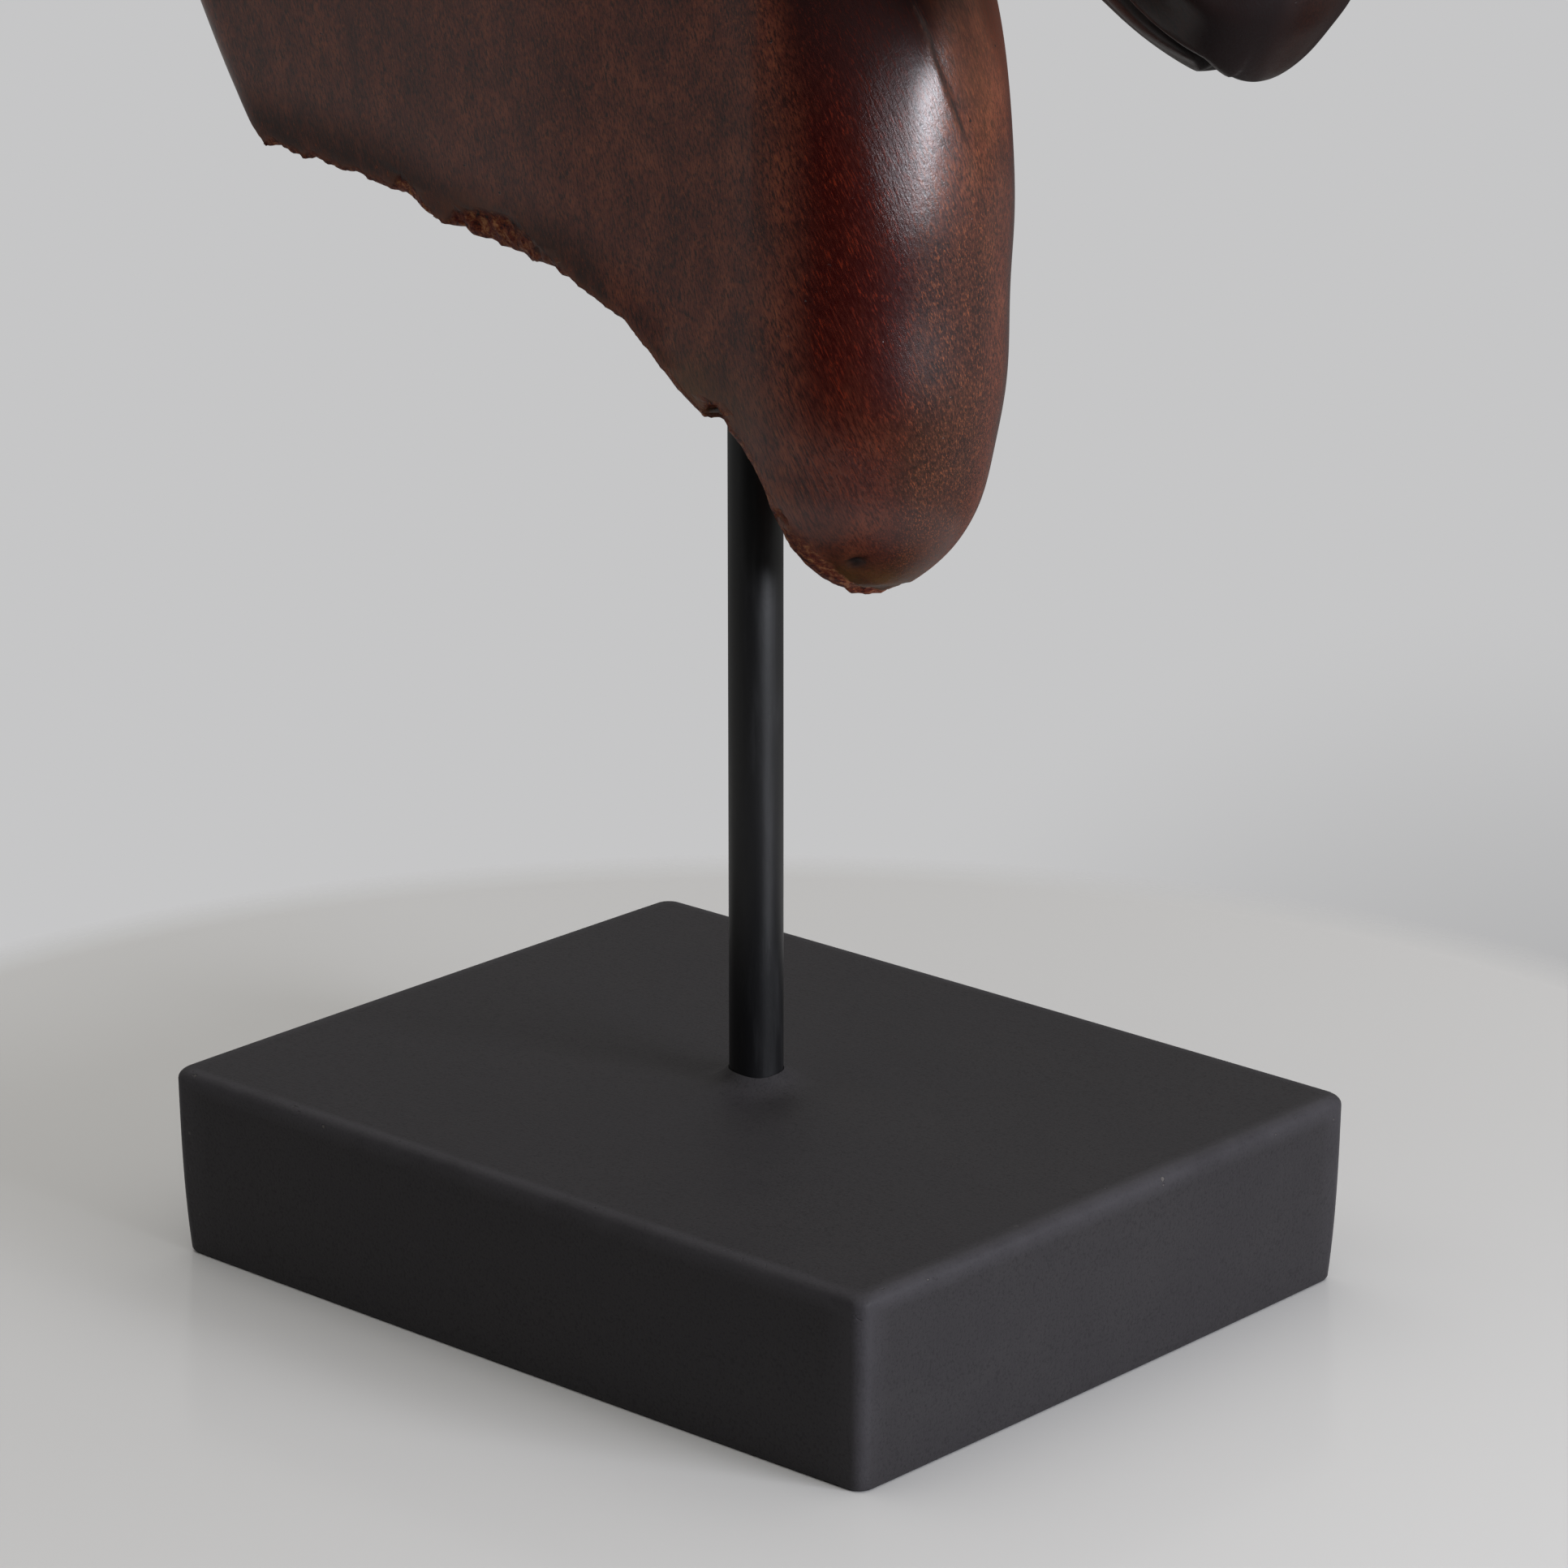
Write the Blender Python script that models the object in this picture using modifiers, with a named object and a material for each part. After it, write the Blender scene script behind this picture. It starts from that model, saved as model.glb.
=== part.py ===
"""Horse head sculpture: a cast head and neck with a broken lower edge, on a round rod and a block.

Metres, +Z up. +X is the way the horse faces and Y = 0 is its plane of symmetry.
The origin is the middle of the block's underside, on the rod's axis.
"""

import math

import bmesh
import bpy
import numpy as np
from mathutils import Matrix, Vector, noise

# Block
BASE_LENGTH = 0.2165
BASE_WIDTH = 0.1715
BASE_HEIGHT = 0.046
BASE_EDGE_RADIUS = 0.003
BASE_UNDERCUT = 0.0013
BASE_SOCKET_FLOOR = 0.016
COLLAR_RADIUS = 0.0035

# Rod
ROD_DIAMETER = 0.0127
ROD_CHAMFER = 0.0006
ROD_SIDES = 40

# Sculpture
HEAD_LENGTH = 0.255
HEAD_LIFT = 0.128
HEAD_PITCH = math.radians(36)
NECK_SOCKET_DEPTH = 0.045

# Fits and mesh density
CLEARANCE = 0.0003
CLAY_GRID = 0.0019
HEAD_TRIANGLES = 8100
OVERSHOOT = 0.002

# The sculpture is laid out in 255ths of its head length, which are millimetres at the real size.
# Its own origin is on the rod's axis, close to the level of the lowest point of the throat.
UNIT = HEAD_LENGTH / 255
SEAT_Z = BASE_HEIGHT + HEAD_LIFT

# Side view of the neck, one line across it per row, from the chest up to the poll:
# crest x, crest z, crest radius, throat x, throat z, throat radius.
NECK_LINES = [
    (-40, 5, 4, 39, -2.0, 7),
    (-50, 7, 5, 43.5, -0.3, 12),
    (-62, 11, 6, 48.5, 3, 17),
    (-82, 17, 7, 54, 9, 23),
    (-104, 26, 8, 58.7, 18, 27.5),
    (-123, 38, 9, 61.5, 30, 30),
    (-142, 54, 10, 64, 46, 33),
    (-156, 75, 11, 64.2, 66, 34),
    (-169, 96, 12, 65.2, 90, 34),
    (-182, 124, 13, 61, 125, 33.5),
    (-188, 158, 14, 50.5, 155, 31.5),
    (-186, 192, 14, 42, 178, 30),
    (-176, 224, 14, 30, 196, 29),
    (-157, 252, 14.5, 18, 210, 28),
    (-131, 276, 15, 6, 222, 27),
    (-101, 294, 16, -4, 234, 26),
    (-70, 305, 17, -10, 250, 24),
    (-45, 307, 14, -8, 268, 16),
]

# The poll, where the head's own axes start: u runs down the face to the lips, v stands out of the forehead.
POLL_X, POLL_Z = -42, 308

# Head sections along u: u, top v, bottom v, half width of the upper part, of the lower part, roundness.
HEAD_SECTIONS = [
    (-14, -16, -60, 18, 18, 0.50),
    (0, -3, -80, 27, 27, 0.40),
    (22, 4, -94, 36, 34, 0.34),
    (45, 7.5, -101, 41, 37.5, 0.31),
    (70, 9, -102, 43, 37.5, 0.30),
    (92, 8.5, -97, 41.5, 33.5, 0.32),
    (115, 6.5, -85, 37, 28.5, 0.35),
    (140, 4.5, -71, 32, 25, 0.37),
    (165, 3.5, -60, 28.5, 23, 0.38),
    (190, 3.5, -52.5, 26.5, 22, 0.38),
    (210, 4.5, -51.5, 26.5, 24.5, 0.36),
    (228, 4, -50.3, 27.5, 26.5, 0.34),
    (241, -0.5, -47.7, 25.2, 25, 0.34),
    (250, -8, -44.5, 19.8, 20.5, 0.38),
    (255.5, -15.5, -41, 12, 12.5, 0.45),
    (257.5, -22, -36, 5, 5, 0.50),
]

# The broken lower edge in side view, from behind the crest down to the throat: x, z.
BROKEN_EDGE = [
    (-195, 76),
    (-148, 74),
    (-126, 73.5),
    (-111, 72.5),
    (-96, 70.5),
    (-82, 66),
    (-66, 64),
    (-50, 62.5),
    (-36, 61.5),
    (-25, 57.5),
    (-15, 54.5),
    (-7, 48.5),
    (2, 41.5),
    (9, 37.5),
    (16, 36.5),
    (21, 33),
    (25, 28),
    (27.5, 22),
    (29.5, 16),
    (30.7, 8),
    (31.7, 3),
    (34.0, -1),
    (38.0, -6),
]
UNDERSIDE_HOLLOW = 5.0

# Chips knocked off the broken edge: x, z, radius, side of the horse.
CHIPS = [
    (-94, 70, 2.4, -1),
    (-64, 65, 3.2, -1),
    (-52, 64, 2.8, -1),
    (-41, 61.5, 3.4, -1),
    (14, 39, 3.5, -1),
    (31, 18, 2.4, -1),
    (-120, 74, 6.0, 1),
    (-75, 66, 7.5, 1),
    (-20, 58, 5.0, 1),
    (20, 36, 5.5, 1),
]

# Carving on the head, in u and v.
EYE_U, EYE_V, EYE_TILT = 82, -21, math.radians(-12)
EYE_LENGTH, UPPER_LID, LOWER_LID = 13.0, 7.5, 5.0
JOWL_U, JOWL_V, JOWL_RADIUS = 58, -62, 41
FACE_CREST = [(98, -36), (120, -34), (150, -31)]
MOUTH_LINE = [(262, -34), (256, -35.5), (249, -36.5), (238, -37.5), (222, -36.5), (203, -33)]
NOSTRIL_U, NOSTRIL_V, NOSTRIL_Y = 239, -12, 23.0
NOSTRIL_SIZE = (11.0, 8.0, 4.6)
NOSTRIL_TURN = math.radians(30)

MANE_START, MANE_END = 0.02, 0.80
MANE_HEIGHT, MANE_THICKNESS, MANE_LOCK = 11.0, 6.0, 7.0
EAR_LENGTH, EAR_HALF_WIDTH, EAR_HALF_DEPTH = 56.0, 12.0, 8.0
EAR_WALL, EAR_SCOOP_FORWARD = 3.6, 6.5
EAR_LEAF = [
    (-0.12, 0.95, 1.05),
    (0.10, 0.98, 0.98),
    (0.30, 1.00, 0.90),
    (0.55, 0.84, 0.70),
    (0.78, 0.52, 0.44),
    (0.93, 0.24, 0.22),
    (1.00, 0.05, 0.06),
]
EAR_SCOOP = [
    (0.06, 0.15, 0.10),
    (0.18, 0.70, 0.70),
    (0.34, 1.00, 0.98),
    (0.55, 0.88, 0.80),
    (0.76, 0.55, 0.50),
    (0.91, 0.10, 0.10),
]

# The forelock down the forehead: u, v, half width, thickness.
FORELOCK = [
    (-12, -6, 9, 7),
    (0, 0.5, 9.5, 6.5),
    (16, 4.5, 8.5, 5),
    (32, 7, 6, 4),
    (46, 7.5, 2.5, 2.5),
    (52, 6.5, 0.8, 1),
]


def clear_scene():
    for obj in list(bpy.data.objects):
        bpy.data.objects.remove(obj)


def collection(name, parent=None):
    made = bpy.data.collections.new(name)
    (parent or bpy.context.scene.collection).children.link(made)
    return made


def material(name, colour, roughness, metallic=0.0):
    made = bpy.data.materials.new(name)
    made.use_nodes = True
    shader = made.node_tree.nodes["Principled BSDF"]
    shader.inputs["Base Color"].default_value = (*colour, 1)
    shader.inputs["Roughness"].default_value = roughness
    shader.inputs["Metallic"].default_value = metallic
    made.diffuse_color = (*colour, 1)
    return made


def new_object(name, bm, group):
    mesh = bpy.data.meshes.new(name)
    bm.to_mesh(mesh)
    bm.free()
    obj = bpy.data.objects.new(name, mesh)
    group.objects.link(obj)
    return obj


def cutter(obj):
    obj.hide_render = True
    obj.display_type = "WIRE"
    return obj


def boolean(obj, other, operation):
    modifier = obj.modifiers.new(operation.lower(), "BOOLEAN")
    modifier.operation = operation
    modifier.object = other
    return modifier


def bake(obj):
    """Replaces an object's mesh by what its modifiers make of it."""
    bpy.context.view_layer.update()
    graph = bpy.context.evaluated_depsgraph_get()
    mesh = bpy.data.meshes.new_from_object(obj.evaluated_get(graph))
    obj.modifiers.clear()
    obj.data = mesh
    return obj


def smooth_curve(points, steps):
    """A Catmull-Rom curve through rows of numbers, with so many steps from one row to the next."""
    rows = np.array(points, float)
    before = 2 * rows[0] - rows[1]
    after = 2 * rows[-1] - rows[-2]
    padded = np.vstack([before, rows, after])
    out = []
    for i in range(len(rows) - 1):
        a, b, c, d = padded[i : i + 4]
        for t in np.arange(steps) / steps:
            square = (2 * a - 5 * b + 4 * c - d) * t**2
            cube = (3 * b - a - 3 * c + d) * t**3
            out.append(0.5 * (2 * b + (c - a) * t + square + cube))
    return np.array([*out, rows[-1]])


def place(points):
    """Sculpture units to metres in the part's frame."""
    return np.asarray(points, float) * UNIT + np.array([0, 0, SEAT_Z])


def unplace(points):
    return (np.asarray(points, float) - np.array([0, 0, SEAT_Z])) / UNIT


def head_point(u, v):
    """Side-view x and z of a place on the head."""
    x = POLL_X + u * math.cos(HEAD_PITCH) + v * math.sin(HEAD_PITCH)
    z = POLL_Z - u * math.sin(HEAD_PITCH) + v * math.cos(HEAD_PITCH)
    return x, z


def head_axes(x, z):
    """The head's u and v of side-view places."""
    dx, dz = x - POLL_X, z - POLL_Z
    u = dx * math.cos(HEAD_PITCH) - dz * math.sin(HEAD_PITCH)
    v = dx * math.sin(HEAD_PITCH) + dz * math.cos(HEAD_PITCH)
    return u, v


def loft(rings):
    """A closed skin over rings with the same number of points, its two ends filled."""
    bm = bmesh.new()
    rows = [[bm.verts.new(p) for p in ring] for ring in rings]
    for low, high in zip(rows, rows[1:]):
        for i in range(len(low)):
            j = (i + 1) % len(low)
            bm.faces.new((low[i], low[j], high[j], high[i]))
    bm.faces.new(rows[0][::-1])
    bm.faces.new(rows[-1])
    bmesh.ops.recalc_face_normals(bm, faces=bm.faces)
    return bm


def teardrop(length, back_radius, front_radius):
    """Half of a section with two round ends: distance from the back, half width."""
    back = [math.pi * i / 12 for i in range(7)]
    front = [math.pi * (6 - i) / 12 for i in range(7)]
    half = [(back_radius * (1 - math.cos(a)), back_radius * math.sin(a)) for a in back]
    side = np.linspace(0, 1, 11)[1:-1]
    run = length - back_radius - front_radius
    half += [(back_radius + run * t, back_radius + (front_radius - back_radius) * t) for t in side]
    half += [(length - front_radius * (1 - math.cos(a)), front_radius * math.sin(a)) for a in front]
    return half


def neck_body():
    rings = []
    for bx, bz, br, fx, fz, fr in smooth_curve(NECK_LINES, 3):
        back, front = np.array([bx, bz]), np.array([fx, fz])
        length = np.linalg.norm(front - back)
        along = (front - back) / length
        half = teardrop(length, br, fr)
        ring = [(*(back + along * d), w) for d, w in half]
        ring += [(*(back + along * d), -w) for d, w in half[-2:0:-1]]
        rings.append(place([(x, y, z) for x, z, y in ring]))
    return loft(rings)


def head_body():
    rings = []
    heights = (1 - np.cos(np.linspace(0, math.pi, 25))) / 2
    for u, top, bottom, upper, lower, roundness in smooth_curve(HEAD_SECTIONS, 3):
        half = []
        for h in heights:
            w = (lower + (upper - lower) * h) * max(0.0, math.sin(math.pi * h)) ** roundness
            half.append((w, bottom + (top - bottom) * h))
        ring = half + [(-w, v) for w, v in half[-2:0:-1]]
        rings.append(place([(head_point(u, v)[0], w, head_point(u, v)[1]) for w, v in ring]))
    return loft(rings)


def crest_line(steps):
    """The neck's crest in side view, from the poll backwards and down."""
    crest = [(row[0], row[1]) for row in NECK_LINES[:5:-1]]
    return smooth_curve(crest, steps)


def mane_body():
    """A short upright mane along the crest, which fades out at both ends."""
    path = crest_line(8)
    path = path[int(MANE_START * len(path)) : int(MANE_END * len(path))]
    slope = np.gradient(path, axis=0)
    out = np.stack([slope[:, 1], -slope[:, 0]], 1) / np.linalg.norm(slope, axis=1)[:, None]
    if out[len(out) // 2, 0] > 0:
        out = -out
    rings = []
    for i, (x, z) in enumerate(path):
        t = i / (len(path) - 1)
        swell = math.sin(math.pi * min(1, 0.08 + t * 2.2) / 2)
        fade = swell * math.sin(math.pi * min(1, (1.02 - t) * 2.6) / 2)
        height, half = MANE_HEIGHT * fade, MANE_THICKNESS * (0.45 + 0.55 * fade)
        section = [(-9, half), (0, half * 0.98), (0.6 * height, half * 0.8), (height, half * 0.35)]
        section += [(d, -w) for d, w in section[::-1]]
        rings.append(place([(x + out[i, 0] * d, w, z + out[i, 1] * d) for d, w in section]))
    return loft(rings)


def ear_body(side, rows, half_width, half_depth, forward):
    """A leaf-shaped solid: height as a share of the ear, and its width and depth as shares of the fullest."""
    base_x, base_z = head_point(5, -3)
    axis = Vector((0.20, 0.16 * side, 0.96)).normalized()
    facing = Vector((0.84, 0.50 * side, -0.20)).normalized()
    across = axis.cross(facing).normalized()
    facing = across.cross(axis)
    rings = []
    for t, wide, deep in smooth_curve(rows, 2):
        centre = Vector((base_x, 18.5 * side, base_z)) + axis * (EAR_LENGTH * t)
        centre += facing * (forward + 3 * t - 3 * math.sin(math.pi * max(t, 0)))
        ring = []
        for i in range(16):
            a = 2 * math.pi * i / 16
            sideways = across * math.cos(a) * wide * half_width
            forwards = facing * math.sin(a) * deep * half_depth
            ring.append(centre + sideways + forwards)
        rings.append(place(ring))
    return loft(rings)


def forelock_body():
    """A short tuft that hangs between the ears on to the forehead."""
    rings = []
    for u, v, half, thick in smooth_curve(FORELOCK, 2):
        ring = []
        for i in range(12):
            a = 2 * math.pi * i / 12
            x, z = head_point(u, v + math.sin(a) * thick)
            ring.append((x, math.cos(a) * half, z))
        rings.append(place(ring))
    return loft(rings)


def below_the_break():
    """The block of air under the broken edge. It bulges upwards in the middle, so the underside is hollow."""
    rings = []
    for y in (-50, *np.linspace(-36, 36, 13), 50):
        ring = []
        for x, z in BROKEN_EDGE:
            lift = UNDERSIDE_HOLLOW * max(0.0, 1 - (y / half_width_at(x, z)) ** 2)
            ring.append((x, y, z + lift * min(1, max(0, (30 - x) / 30))))
        ring += [(38, y, -60), (-190, y, -60)]
        rings.append(place(ring))
    return loft(rings)


def half_width_at(x, z):
    """The neck's half width where a chip is cut, from the lines across it."""
    rows = [row for row in NECK_LINES if row[1] < 130]
    row = min(rows, key=lambda r: abs((r[1] + r[4]) / 2 - z))
    back, front = row[0] + row[2], row[3] - row[5]
    t = min(1.0, max(0.0, (x - back) / (front - back)))
    return row[2] + (row[5] - row[2]) * t


def knock_off_chips(points):
    """Pushes what lies in each chip's ball through to the far side of the ball, which leaves a scoop."""
    for x, z, radius, side in CHIPS:
        into = np.array([0, -0.72 * side, 0.69])
        centre = np.array([x, side * half_width_at(x, z), z]) - into * radius * 0.35
        away = points - centre
        along = away @ into
        reach = radius**2 - (away**2).sum(1) + along**2
        through = np.where(reach > 0, np.sqrt(np.maximum(reach, 0)) - along, 0)
        inside = (reach > 0) & (through > 0) & (along > -radius)
        points[inside] += through[inside, None] * into


def ball(name, centre, size, turn, group):
    """A squashed ball: half sizes along its own axes, turned about Y by so much."""
    bm = bmesh.new()
    bmesh.ops.create_uvsphere(bm, u_segments=16, v_segments=8, radius=1.0)
    shape = Matrix.Rotation(turn, 4, "Y") @ Matrix.Diagonal((*[s * UNIT for s in size], 1))
    bm.transform(Matrix.Translation(Vector(place(centre))) @ shape)
    return cutter(new_object(name, bm, group))


def falloff(distance, width):
    return np.exp(-((distance / width) ** 2))


def step(value, low, high):
    t = np.clip((value - low) / (high - low), 0, 1)
    return t * t * (3 - 2 * t)


def distance_to_line(px, pz, line):
    """How far side-view places are from a bent line, and how far along it they are, from 0 to 1."""
    nearest = np.full(px.shape, 1e9)
    share = np.zeros(px.shape)
    pieces = len(line) - 1
    for i in range(pieces):
        (ax, az), (bx, bz) = line[i], line[i + 1]
        dx, dz = bx - ax, bz - az
        t = np.clip(((px - ax) * dx + (pz - az) * dz) / (dx * dx + dz * dz), 0, 1)
        gap = np.hypot(px - ax - t * dx, pz - az - t * dz)
        share = np.where(gap < nearest, (i + t) / pieces, share)
        nearest = np.minimum(gap, nearest)
    return nearest, share


def eye_relief(u, v):
    """Height of the carving round the eye: socket, brow, lids, ball and the crease over the upper lid."""
    du, dv = u - EYE_U, v - EYE_V
    p = (du * math.cos(EYE_TILT) - dv * math.sin(EYE_TILT)) / EYE_LENGTH
    q = du * math.sin(EYE_TILT) + dv * math.cos(EYE_TILT)
    arch = np.clip(1 - p**2, 0, 1)
    upper = UPPER_LID * arch**0.7
    lower = -LOWER_LID * arch**0.9
    past_corner = np.maximum(np.abs(p) - 1, 0) * EYE_LENGTH
    past_lid = np.maximum(np.maximum(q - upper, lower - q), 0)
    outside = np.hypot(past_corner, past_lid)
    inside = step(np.minimum(upper - q, q - lower), 0.1, 1.1)
    dome = np.sqrt(np.clip(1 - (p / 1.15) ** 2 - (q / 11) ** 2, 0, 1))
    wide = np.clip(1 - (p / 1.7) ** 2, 0, 1)
    relief = 3.6 * falloff(np.hypot(p * EYE_LENGTH, q * 1.2), 20)
    relief += 2.8 * wide * falloff(q - UPPER_LID * wide - 7.5, 4.0)
    relief -= 1.5 * wide * falloff(q - UPPER_LID * wide - 3.8, 1.4) * step(q, 0, 3)
    relief += (1 - inside) * 2.0 * (1 - step(outside, 1.4, 3.6))
    relief += inside * (2.9 * dome - 1.6)
    relief -= 1.6 * falloff(np.hypot(p * EYE_LENGTH - 17, q + 2), 3.2)
    relief -= 2.2 * falloff(np.hypot(p * EYE_LENGTH + 26, q - 12), 12)
    return relief


def head_relief(u, v):
    """Height of the carving on each side of the head, out of its surface."""
    relief = eye_relief(u, v)
    reach = np.hypot(u - JOWL_U, (v - JOWL_V) * 0.96)
    relief += 3.4 * (1 - step(reach, JOWL_RADIUS - 9, JOWL_RADIUS + 3)) * step(-v, 40, 74)
    relief -= 2.4 * falloff(np.hypot(u - 118, (v + 60) * 0.8), 13)
    gap, share = distance_to_line(u, v, FACE_CREST)
    relief += 2.6 * falloff(gap, 4.5) * (1 - 0.6 * share)
    relief -= 1.8 * falloff(np.hypot((u - 160) * 0.45, v + 17), 8.5)
    mouth_u, mouth_v = np.array(MOUTH_LINE[::-1], float).T
    gap, share = distance_to_line(u, v, MOUTH_LINE)
    under = step(np.interp(u, mouth_u, mouth_v) - v, -0.5, 1.5)
    relief -= 2.2 * under * step(u, 206, 222) * (v > -60)
    relief -= 3.6 * falloff(gap, 2.3) * np.clip(1.3 - share, 0, 1)
    turned_u = (u - NOSTRIL_U) * math.cos(NOSTRIL_TURN) - (v - NOSTRIL_V) * math.sin(NOSTRIL_TURN)
    turned_v = (u - NOSTRIL_U) * math.sin(NOSTRIL_TURN) + (v - NOSTRIL_V) * math.cos(NOSTRIL_TURN)
    rim = np.hypot(turned_u / 13.5, turned_v / 8.0)
    relief += 2.6 * falloff(rim - 1, 0.32)
    relief -= 1.6 * falloff(np.hypot(u - 221, (v + 22) * 0.7), 7)
    return relief


def carve(mesh):
    """Moves each point of the smooth blank out or in by the height of the carving there."""
    count = len(mesh.vertices)
    points, normals = np.empty(count * 3), np.empty(count * 3)
    mesh.vertices.foreach_get("co", points)
    mesh.vertices.foreach_get("normal", normals)
    points, normals = points.reshape(-1, 3), normals.reshape(-1, 3)
    x, y, z = unplace(points).T
    u, v = head_axes(x, z)
    on_head = step(u, 12, 30) * np.maximum(step(np.abs(y), 6, 14), step(u, 244, 250))
    height = head_relief(u, v) * on_head
    height += mane_relief(x, y, z)
    gap, share = distance_to_line(x, z, [(8, 190), (18, 150), (16, 105)])
    height -= 1.4 * falloff(gap, 9) * np.sin(np.pi * np.clip(share + 0.15, 0, 1)) * step(np.abs(y), 12, 22)
    edge, _ = distance_to_line(x, z, BROKEN_EDGE)
    facing_down = step(-normals[:, 2] + 0.5 * (x > 0) * -normals[:, 0], 0.25, 0.7)
    rough = np.array([noise.fractal(Vector(p) * 0.11, 0.9, 2.1, 3) for p in np.stack([x, y, z], 1)])
    height += 1.5 * rough * facing_down * (1 - step(edge, 9, 16))
    carved = unplace(points + normals * (height * UNIT)[:, None])
    knock_off_chips(carved)
    mesh.vertices.foreach_set("co", place(carved).ravel())
    mesh.update()


def mane_relief(x, y, z):
    """Slanting grooves between the locks of the mane, and a shallow one along its foot."""
    path = crest_line(6)
    path = path[: int(MANE_END * len(path))]
    gap, share = distance_to_line(x, z, [tuple(p) for p in path])
    length = np.linalg.norm(np.diff(path, axis=0), axis=1).sum()
    outside = (z > np.interp(x, path[::-1, 0], path[::-1, 1])) | (x < path[-1, 0])
    proud = np.where(outside, gap, -gap)
    along = step(share, 0.02, 0.08) * (1 - step(share, 0.86, 0.97)) * (x < path[0, 0])
    lock = (share * length - 0.8 * proud) / MANE_LOCK + 0.22 * np.sin(share * 41)
    ridge = np.abs(np.sin(np.pi * lock)) ** 0.6
    return along * (step(proud, 0.5, 3.5) * (1.4 * ridge - 1.0) - 0.7 * falloff(proud + 1.0, 1.5))


def smoothing_weights(obj):
    """Soft blends between neck and head, but ears, mane and the broken edge keep their shape."""
    group = obj.vertex_groups.new(name="soft")
    count = len(obj.data.vertices)
    points = np.empty(count * 3)
    obj.data.vertices.foreach_get("co", points)
    x, y, z = unplace(points.reshape(-1, 3)).T
    u, v = head_axes(x, z)
    gap, _ = distance_to_line(x, z, BROKEN_EDGE)
    crest, _ = distance_to_line(x, z, [tuple(p) for p in crest_line(4)])
    weight = 0.12 + 0.88 * step(gap, 3, 16)
    weight *= 1 - 0.85 * step(v, 4, 12) * (u < 40) * (np.abs(y) > 5)
    weight *= 1 - 0.75 * (1 - step(crest, 8, 16)) * (z > 110)
    weight *= 1 - 0.6 * falloff(np.hypot(u - NOSTRIL_U, v - NOSTRIL_V), 16)
    for level in range(1, 21):
        chosen = np.nonzero(np.round(weight * 20) == level)[0]
        group.add(chosen.tolist(), level / 20, "REPLACE")
    return group


def horse_head(group, helpers, finish):
    """The whole sculpture as one solid: masses, cuts, one skin over all, carving, then the rod's socket."""
    neck = new_object("neck_mass", neck_body(), helpers)
    boolean(neck, cutter(new_object("below_the_break", below_the_break(), helpers)), "DIFFERENCE")
    bake(neck)
    skull = new_object("skull_mass", head_body(), helpers)
    ears = []
    for side, name in ((-1, "right"), (1, "left")):
        x, z = head_point(NOSTRIL_U, NOSTRIL_V)
        centre, turn = (x, side * NOSTRIL_Y, z), HEAD_PITCH + NOSTRIL_TURN
        nostril = ball(f"nostril_{name}", centre, NOSTRIL_SIZE, turn, helpers)
        boolean(skull, nostril, "DIFFERENCE")
        leaf = ear_body(side, EAR_LEAF, EAR_HALF_WIDTH, EAR_HALF_DEPTH, 0)
        inner = EAR_HALF_WIDTH - EAR_WALL, EAR_HALF_DEPTH - EAR_WALL / 2
        scoop = ear_body(side, EAR_SCOOP, *inner, EAR_SCOOP_FORWARD)
        ear = new_object(f"ear_mass_{name}", leaf, helpers)
        boolean(ear, cutter(new_object(f"ear_scoop_{name}", scoop, helpers)), "DIFFERENCE")
        ears.append(bake(ear))
    bake(skull)
    mane = new_object("mane_mass", mane_body(), helpers)
    forelock = new_object("forelock_mass", forelock_body(), helpers)

    masses = bmesh.new()
    for obj in (neck, skull, mane, forelock, *ears):
        masses.from_mesh(obj.data)
        cutter(obj)
    head = new_object("horse_head", masses, group)
    skin = head.modifiers.new("one_skin", "REMESH")
    skin.mode = "VOXEL"
    skin.voxel_size = CLAY_GRID
    bake(head)
    soft = smoothing_weights(head)
    blend = head.modifiers.new("blend", "SMOOTH")
    blend.factor = 0.5
    blend.iterations = 20
    blend.vertex_group = soft.name
    bake(head)
    head.vertex_groups.clear()
    carve(head.data)

    fewer = head.modifiers.new("fewer_faces", "DECIMATE")
    fewer.ratio = HEAD_TRIANGLES / (2 * len(head.data.polygons))
    bore = bmesh.new()
    depth = NECK_SOCKET_DEPTH + 2 * HEAD_LIFT
    bmesh.ops.create_cone(
        bore,
        cap_ends=True,
        segments=ROD_SIDES,
        radius1=ROD_DIAMETER / 2 + CLEARANCE,
        radius2=ROD_DIAMETER / 2 + CLEARANCE,
        depth=depth,
    )
    bore.transform(Matrix.Translation((0, 0, socket_top() - depth / 2)))
    boolean(head, cutter(new_object("neck_socket", bore, helpers)), "DIFFERENCE")
    head.data.materials.append(finish)
    return head


def socket_top():
    """Height of the blind end of the socket in the neck, which starts at the underside over the rod."""
    edge = np.array(BROKEN_EDGE, float)
    underside = np.interp(0, edge[:, 0], edge[:, 1]) + UNDERSIDE_HOLLOW
    return SEAT_Z + underside * UNIT + NECK_SOCKET_DEPTH


def rod(group, finish):
    """A straight round bar from the bottom of the block's socket to the top of the neck's."""
    low = BASE_SOCKET_FLOOR + CLEARANCE
    high = socket_top() - CLEARANCE
    bm = bmesh.new()
    radius = ROD_DIAMETER / 2
    bmesh.ops.create_cone(
        bm, cap_ends=True, segments=ROD_SIDES, radius1=radius, radius2=radius, depth=high - low
    )
    bm.transform(Matrix.Translation((0, 0, (low + high) / 2)))
    obj = new_object("rod", bm, group)
    chamfer = obj.modifiers.new("chamfer", "BEVEL")
    chamfer.width = ROD_CHAMFER
    chamfer.limit_method = "ANGLE"
    chamfer.angle_limit = math.radians(60)
    obj.data.materials.append(finish)
    return obj


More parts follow.
